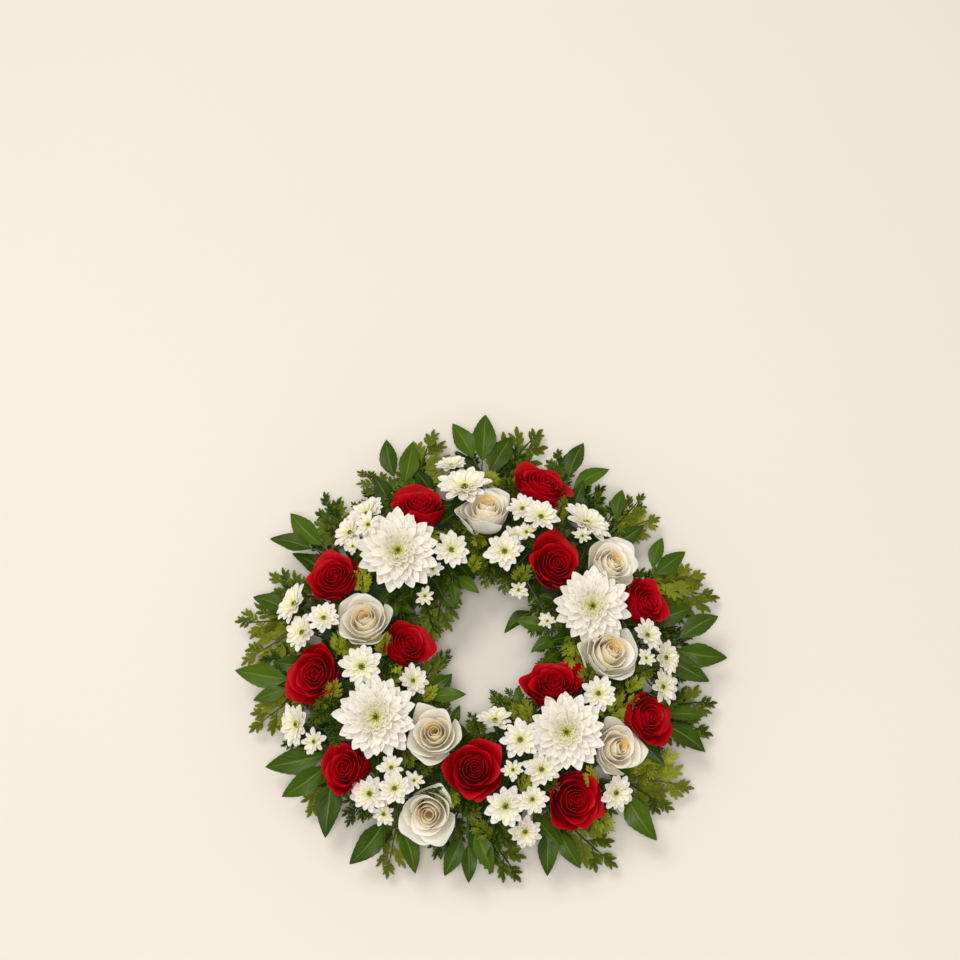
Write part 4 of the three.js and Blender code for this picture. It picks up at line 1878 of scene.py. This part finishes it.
SHOWN_SPRIGS = (
    ShownSprig(-131, 55, -132, 78, 0.85),
    ShownSprig(-150, 28, -162, 34, 0.35),
    ShownSprig(-158, -12, -154, 5, 0.8),
    ShownSprig(-110, -14, -103, 3, 0.95),
    ShownSprig(-98, -46, -90, -32, 0.85),
    ShownSprig(-165, -66, -158, -50, 0.8),
    ShownSprig(-165, -60, -176, -72, 0.4),
    ShownSprig(-170, -72, -184, -88, 0.3),
    ShownSprig(-95, 50, -93, 25),
    ShownSprig(-50, 58, -28, 42),
    ShownSprig(-60, 45, -50, 9, 0.3),
    ShownSprig(-55, -26, -36, -8, 0.25),
    ShownSprig(-52, -60, -32, -33),
    ShownSprig(-64, -62, -50, -50, 0.9),
    ShownSprig(166, -36, 192, -22, 0.3),
    ShownSprig(158, -52, 174, -44, 0.75),
    ShownSprig(123, -88, 166, -65, 0.6),
    ShownSprig(112, -48, 122, -28, 0.4),
    ShownSprig(184, -118, 177, -148, 0.45),
    ShownSprig(192, -124, 210, -120, 0.9),
    ShownSprig(122, -182, 140, -200, 0.6),
    ShownSprig(40, -160, 50, -150, 0.95),
    ShownSprig(66, -150, 80, -160, 0.35),
    ShownSprig(48, -92, 36, -70, 0.5),
    ShownSprig(52, -88, 47, -66, 0.6),
    ShownSprig(46, -76, 38, -50),
    ShownSprig(28, -72, 12, -52, 0.25),
    ShownSprig(84, 10, 55, -9),
    ShownSprig(88, -4, 68, -22),
    ShownSprig(104, 8, 100, -25, 0.5),
    ShownSprig(62, 42, 26, 14),
    ShownSprig(68, 36, 56, 12, 0.3),
)

OUTER_RING = Ring(start=150, hub=205, hub_height=46, tip_height=34)
INNER_RING = Ring(start=122, hub=86, hub_height=60, tip_height=60)

# A bunch's foot in the foam, how far apart along its stem its leaves start, in shares, and how much lower
# each one's tip is than the last, in millimetres
ROOT_HEIGHT = 28
APART = 0.15
LOWER = 3.2
LOWEST_TIP = 28

# The gaps that are filled, the bed of leaves and how deep its feet go into the foam, and where the sprigs
# round the foam's outer side and round the open middle start, in millimetres
GAPS_NEAREST = 96
GAPS_FARTHEST = 201
BED_FARTHEST = 178
BED_DEPTH = 6
SKIRT_START = 172
FRINGE_START = 104

# How deep a shown sprig's foot and tip lie below the flowers' faces, how many times longer it is than it
# shows, and how far a sprig in a gap rises
SHOWN_FOOT = 30
SHOWN_TIP = 8
SHOWN_LONGER = 1.25
SPRIG_RISE = 26

# How many places in the gaps are tried, and how many leaves or sprigs the bed, the skirt and the fringe have
GAP_TRIES = 520
BED_LEAVES = 280
SKIRT_SPRIGS = 66
FRINGE_SPRIGS = 36

# How far a sprig's tip, middle and foot stay from a flower's middle, in shares of the flower's radius
CLEAR = (0.95, 0.85, 0.7)

OUTER_GREENS = (
    Bunch(90, ((97, 266), (89, 276), (82, 253)), ((75, 267),)),
    Bunch(63, ((64, 268), (55, 257)), ((70, 250),)),
    Bunch(42, ((49, 245),), ((44, 258), (38, 254))),
    Bunch(22, ((32, 242), (26, 257)), ((20, 266), (14, 272))),
    Bunch(0, ((8, 268), (-2, 274), (-8, 256))),
    Bunch(-22, ((-17, 258), (-25, 272)), ((-12, 262), (-20, 268))),
    Bunch(-45, ((-48, 284),), ((-34, 274), (-41, 270))),
    Bunch(-68, ((-66, 264), (-74, 259)), ((-59, 274),)),
    Bunch(-94, ((-93, 257), (-99, 252), (-87, 246)), ((-81, 252),)),
    Bunch(-117, ((-106, 257), (-121, 276)), ((-113, 266),)),
    Bunch(-142, ((-129, 268), (-143, 272), (-151, 270)), ((-136, 259),)),
    Bunch(-168, ((-167, 258), (-175, 274)), ((-161, 266),)),
    Bunch(170, ((167, 262),), ((174, 272), (-178, 264), (160, 252))),
    Bunch(148, ((152, 270), (144, 268)), ((135, 255),)),
    Bunch(118, ((114, 268), (108, 255)), ((123, 252), (103, 264))),
)
INNER_GREENS = (
    Bunch(112, ((122, 50), (92, 58)), ((166, 54),)),
    Bunch(10, ((36, 46), (-8, 62))),
    Bunch(-62, ((-48, 62),), ((-62, 58), (-78, 60))),
    Bunch(-140, ((-133, 46), (-106, 58)), ((-163, 50),)),
)


@dataclass
class Greenery:
    """The leaves and fern sprigs: the bunches, and the sprigs that fill the gaps between the flowers.

    Attributes:
        nursery: Where the leaves and sprigs are grown.
    """

    nursery: Nursery

    def __post_init__(self) -> None:
        """Grows the leaves and sprigs that all the pieces share."""
        self.chance = np.random.default_rng(23)
        self.leaves = [self.nursery.leaf(seed) for seed in range(4)]
        self.fronds = [self.nursery.frond(seed) for seed in range(5)]
        shape = BladeShape(0.24, widest=0.42, foot=0.2, fullness=1.4, cup=0.1, curl=0.0, arch=0.1, fold=0.3)
        self.small_leaf = shape.skin(Finish.BROAD_LEAF)

    def within(self, low: float, high: float) -> float:
        """Returns the next chance value between two."""
        return low + (high - low) * self.chance.random()

    def leaf(self, base: Vector, tip: Vector, dark: float = 0.0) -> Skin:
        """Lays a broad leaf from a base to a tip, its tone lowered by dark, which paints the shade of leaves
        between or under the flowers.
        """
        choice = self.leaves[int(self.chance.integers(len(self.leaves)))]
        roll = self.within(-0.45, 0.45)
        # Painted shade: the tone is lowered by dark
        tone = self.within(0, 0.6) + 0.3 * (1 - dark)
        leaf = choice.moved(aim(base, tip, roll))
        return replace(leaf, tone=np.full(len(leaf.points), tone))

    def fern(self, base: Vector, tip: Vector, bright: float = 0.25) -> Skin:
        """Lays a fern sprig from a base to a tip, its green from 0, dark olive, to 1, yellow green."""
        choice = self.fronds[int(self.chance.integers(len(self.fronds)))]
        roll = self.within(-0.4, 0.4)
        fern = choice.moved(aim(base, tip, roll))
        return replace(fern, tone=np.clip(bright - 0.12 + 0.24 * fern.tone, 0, 1))

    def bunch(self, bunch: Bunch, ring: Ring) -> list[Skin]:
        """Builds one bunch.

        Args:
            bunch: The bunch.
            ring: Where it starts, meets and ends.

        Returns:
            Its stem, leaves and sprigs.
        """
        root = polar(bunch.at, ring.start, ROOT_HEIGHT)
        hub = polar(bunch.at, ring.hub, ring.hub_height)
        skins = [tube([root, root.lerp(hub, 0.5), hub], [GREENERY_STEM * MM] * 3)]
        for order, (degrees, reach) in enumerate(bunch.leaves + bunch.ferns):
            base = hub.lerp(root, 0.04 + APART * order)
            tip = polar(degrees, reach, ring.tip_height - LOWER * order)
            tip.z = max(tip.z, LOWEST_TIP * MM)
            if order < len(bunch.leaves):
                skins.append(self.leaf(base, tip))
            else:
                skins.append(self.fern(base, tip, self.within(0.25, 0.5)))
        return skins

    def placed(self) -> list[Skin]:
        """Lays the leaves and sprigs whose places the photograph shows between the flowers."""
        skins = []
        for sprig in SHOWN_SPRIGS:
            foot_height = crown_height(math.hypot(sprig.x, sprig.y)) - SHOWN_FOOT
            tip_height = crown_height(math.hypot(sprig.to_x, sprig.to_y)) - SHOWN_TIP
            base = Vector((sprig.x, sprig.y, foot_height)) * MM
            tip = Vector((sprig.to_x, sprig.to_y, tip_height)) * MM
            base = tip + (base - tip) * SHOWN_LONGER
            if sprig.bright is None:
                # Painted shade: leaves between the flowers are darkened
                skins.append(self.leaf(base, tip, 0.7))
            else:
                skins.append(self.fern(base, tip, sprig.bright))
            skins.append(self.stalk(base))
        return skins

    def stalk(self, base: Vector) -> Skin:
        """Joins a sprig's base to the foam."""
        root = root_of(base)
        return tube([root, root.lerp(base, 0.5), base], [STALK * MM] * 3, sides=4)

    def free(self, point: Vector, spare: float) -> bool:
        """Tells whether a point is clear of every flower head by a share of its radius."""
        spot = point.xy / MM
        return all((Vector((f.x, f.y)) - spot).length > f.radius * spare for f in ALL_FLOWERS)

    def between(self, count: int) -> list[Skin]:
        """Stands sprigs in the gaps between the flowers.

        Args:
            count: How many places are tried.

        Returns:
            The sprigs, each with its stalk.
        """
        skins = []
        for _ in range(count):
            clock = self.within(0, 360)
            distance = self.within(GAPS_NEAREST, GAPS_FARTHEST)
            tip = polar(clock, distance, crown_height(distance) - self.within(8, 22))
            heading = self.within(0, 360)
            length = self.within(18, 28)
            bright = self.within(0, 1) ** 1.6
            base = tip - polar(heading, length, SPRIG_RISE)
            spots = (tip, tip.lerp(base, 0.5), base)
            if all(self.free(spot, spare) for spot, spare in zip(spots, CLEAR)):
                skins += [self.fern(base, tip, bright), self.stalk(base)]
        return skins

    def bed(self, count: int) -> list[Skin]:
        """Covers the foam with small leaves, darkened as painted shade.

        Args:
            count: How many leaves it has.

        Returns:
            The leaves, each with its foot in the foam.
        """
        skins = []
        for i in range(count):
            share = (i + 0.5) / count
            distance = math.sqrt(GAPS_NEAREST**2 * (1 - share) + BED_FARTHEST**2 * share)
            base = polar(i * GOLDEN_DEGREES, distance, FOAM_TOP - BED_DEPTH)
            length = self.within(24, 38)
            tip = base + polar(self.within(0, 360), length, self.within(6, 19))
            leaf = self.small_leaf.moved(aim(base, tip, self.within(-0.4, 0.4)))
            # Painted shade: the bed's leaves keep to the darker half of the leaf tones
            skins.append(replace(leaf, tone=np.full(len(leaf.points), self.within(0, 0.5))))
        return skins

    def skirt(self, count: int) -> list[Skin]:
        """Sets leaves and sprigs round the foam's outer side, under the flowers.

        Args:
            count: How many there are.

        Returns:
            The leaves and sprigs, each with its foot in the foam.
        """
        skins = []
        for i in range(count):
            clock = 360 * i / count + self.within(0, 3)
            low = self.within(18, 35)
            base = polar(clock, SKIRT_START, low)
            reach = self.within(222, 242)
            tip = polar(clock + self.within(-8, 8), reach, low + self.within(2, 12))
            # Painted shade: under the flowers, leaves get the darkest tone and sprigs a dark olive
            skins.append(self.leaf(base, tip, 1.0) if i % 3 == 1 else self.fern(base, tip, 0.15))
        return skins

    def fringe(self, count: int) -> list[Skin]:
        """Sets sprigs round the open middle.

        Args:
            count: How many there are.

        Returns:
            The sprigs, each with its foot in the foam.
        """
        skins = []
        for i in range(count):
            clock = 360 * i / count + self.within(0, 5)
            base = polar(clock, FRINGE_START, self.within(28, 46))
            reach = self.within(66, 78)
            tip = polar(clock + self.within(-15, 15), reach, self.within(36, 64))
            # Painted shade: the fringe's leaves get the darkest tone
            skins.append(self.leaf(base, tip, 1.0) if i % 4 == 1 else self.fern(base, tip, 0.3))
        return skins

    def build(self, bench: Bench) -> None:
        """Builds every bunch and all that fills the gaps."""
        bench.place("filler_sprigs_shown", "greenery", self.placed())
        bench.place("filler_sprigs_between", "greenery", self.between(GAP_TRIES))
        bench.place("filler_leaves_bed", "greenery", self.bed(BED_LEAVES))
        bench.place("filler_sprigs_skirt", "greenery", self.skirt(SKIRT_SPRIGS))
        bench.place("filler_sprigs_fringe", "greenery", self.fringe(FRINGE_SPRIGS))
        for i, bunch in enumerate(OUTER_GREENS):
            node = numbered("outer_greenery", i)
            bench.place(f"{node}_leaves", "greenery", self.bunch(bunch, OUTER_RING), node)
        for i, bunch in enumerate(INNER_GREENS):
            node = numbered("inner_greenery", i)
            bench.place(f"{node}_leaves", "greenery", self.bunch(bunch, INNER_RING), node)


# Studio


# Half the floor's width in metres, and the camera's place from the ring's middle in millimetres
FLOOR_HALF_WIDTH = 6.0
CAMERA_PLACE = Vector((-1.1, -471.3, 2218.3))


@dataclass
class Studio:
    """The floor, the light and the camera.

    Attributes:
        centre: The middle of the foam ring, in metres.
    """

    centre: Vector

    def floor(self) -> None:
        """Lays the floor."""
        paint = Paint("warm cream paper")
        cloud = paint.noise(paint.coordinates(), 1.5)
        paper = paint.surface(paint.mix(cloud, "#dcd7cd", "#dfdad0"), Roughness=0.9)
        half = FLOOR_HALF_WIDTH
        mesh = bpy.data.meshes.new("floor")
        corners = [(-half, -half, 0), (half, -half, 0), (half, half, 0), (-half, half, 0)]
        mesh.from_pydata(corners, [], [(0, 1, 2, 3)])
        mesh.materials.append(paper)
        floor = bpy.data.objects.new("floor", mesh)
        bpy.context.scene.collection.objects.link(floor)

    def lamp(self, name: str, place: Vector, size: float, power: float, colour: str) -> None:
        """Hangs a soft square lamp that looks at the wreath.

        Args:
            name: Its name.
            place: Where it hangs from the wreath's middle, in metres.
            size: Its side, in metres.
            power: Its power, in watts.
            colour: Its colour.
        """
        light = bpy.data.lights.new(name, "AREA")
        light.size = size
        light.energy = power
        light.color = linear(colour)[:3]
        lamp = bpy.data.objects.new(name, light)
        lamp.location = self.centre + place
        lamp.rotation_euler = place.to_track_quat("Z", "Y").to_euler()
        bpy.context.scene.collection.objects.link(lamp)

    def light(self) -> None:
        """Lights the wreath softly from its top left, and more weakly from the camera's side."""
        world = bpy.data.worlds.new("soft studio")
        world.use_nodes = True
        background = world.node_tree.nodes["Background"]
        background.inputs["Color"].default_value = linear("#fffaf5")
        background.inputs["Strength"].default_value = 0.52
        bpy.context.scene.world = world
        self.lamp("key", Vector((-1.3, 1.6, 3.6)), 1.8, 66.0, "#fffaf4")
        self.lamp("fill", Vector((-0.1, -0.8, 3.3)), 1.0, 54.0, "#fffaf6")

    def camera(self) -> None:
        """Sets the camera as the photograph was taken, from a little below the flowers' faces."""
        camera = bpy.data.cameras.new("camera")
        camera.lens = 75
        camera.sensor_width = 36
        holder = bpy.data.objects.new("camera", camera)
        holder.location = self.centre + CAMERA_PLACE * MM
        holder.rotation_euler = Euler((VIEW_TILT, 0, 0))
        bpy.context.scene.collection.objects.link(holder)
        bpy.context.scene.camera = holder

    def build(self) -> None:
        """Builds it all."""
        self.floor()
        self.light()
        self.camera()
        bpy.context.scene.view_settings.view_transform = "Standard"


def dress_frame(materials: dict[str, bpy.types.Material]) -> None:
    """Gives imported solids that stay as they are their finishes."""
    for name, material in materials.items():
        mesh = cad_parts[name].data
        mesh.materials.clear()
        mesh.materials.append(material)


def main() -> None:
    """Builds the wreath and the studio."""
    logging.basicConfig(level=logging.INFO, format="%(name)s %(message)s")
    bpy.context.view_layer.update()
    low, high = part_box("foam_ring")
    centre = Vector(((low.x + high.x) / 2, (low.y + high.y) / 2, 0))
    palette = make_palette()
    bench = Bench(palette, centre)
    nursery = Nursery(palette)
    dress_frame({"foam_ring": foam_material(), "backing_tray": tray_material()})
    Roses("red_rose", "red_petal", RED_FORM, RED_ROSES).build(bench)
    Roses("white_rose", "white_petal", CREAM_FORM, WHITE_ROSES).build(bench)
    Chrysanthemums(nursery).build(bench)
    Sprays(nursery).build(bench)
    Greenery(nursery).build(bench)
    Studio(centre).build()


if __name__ == "__main__":
    main()
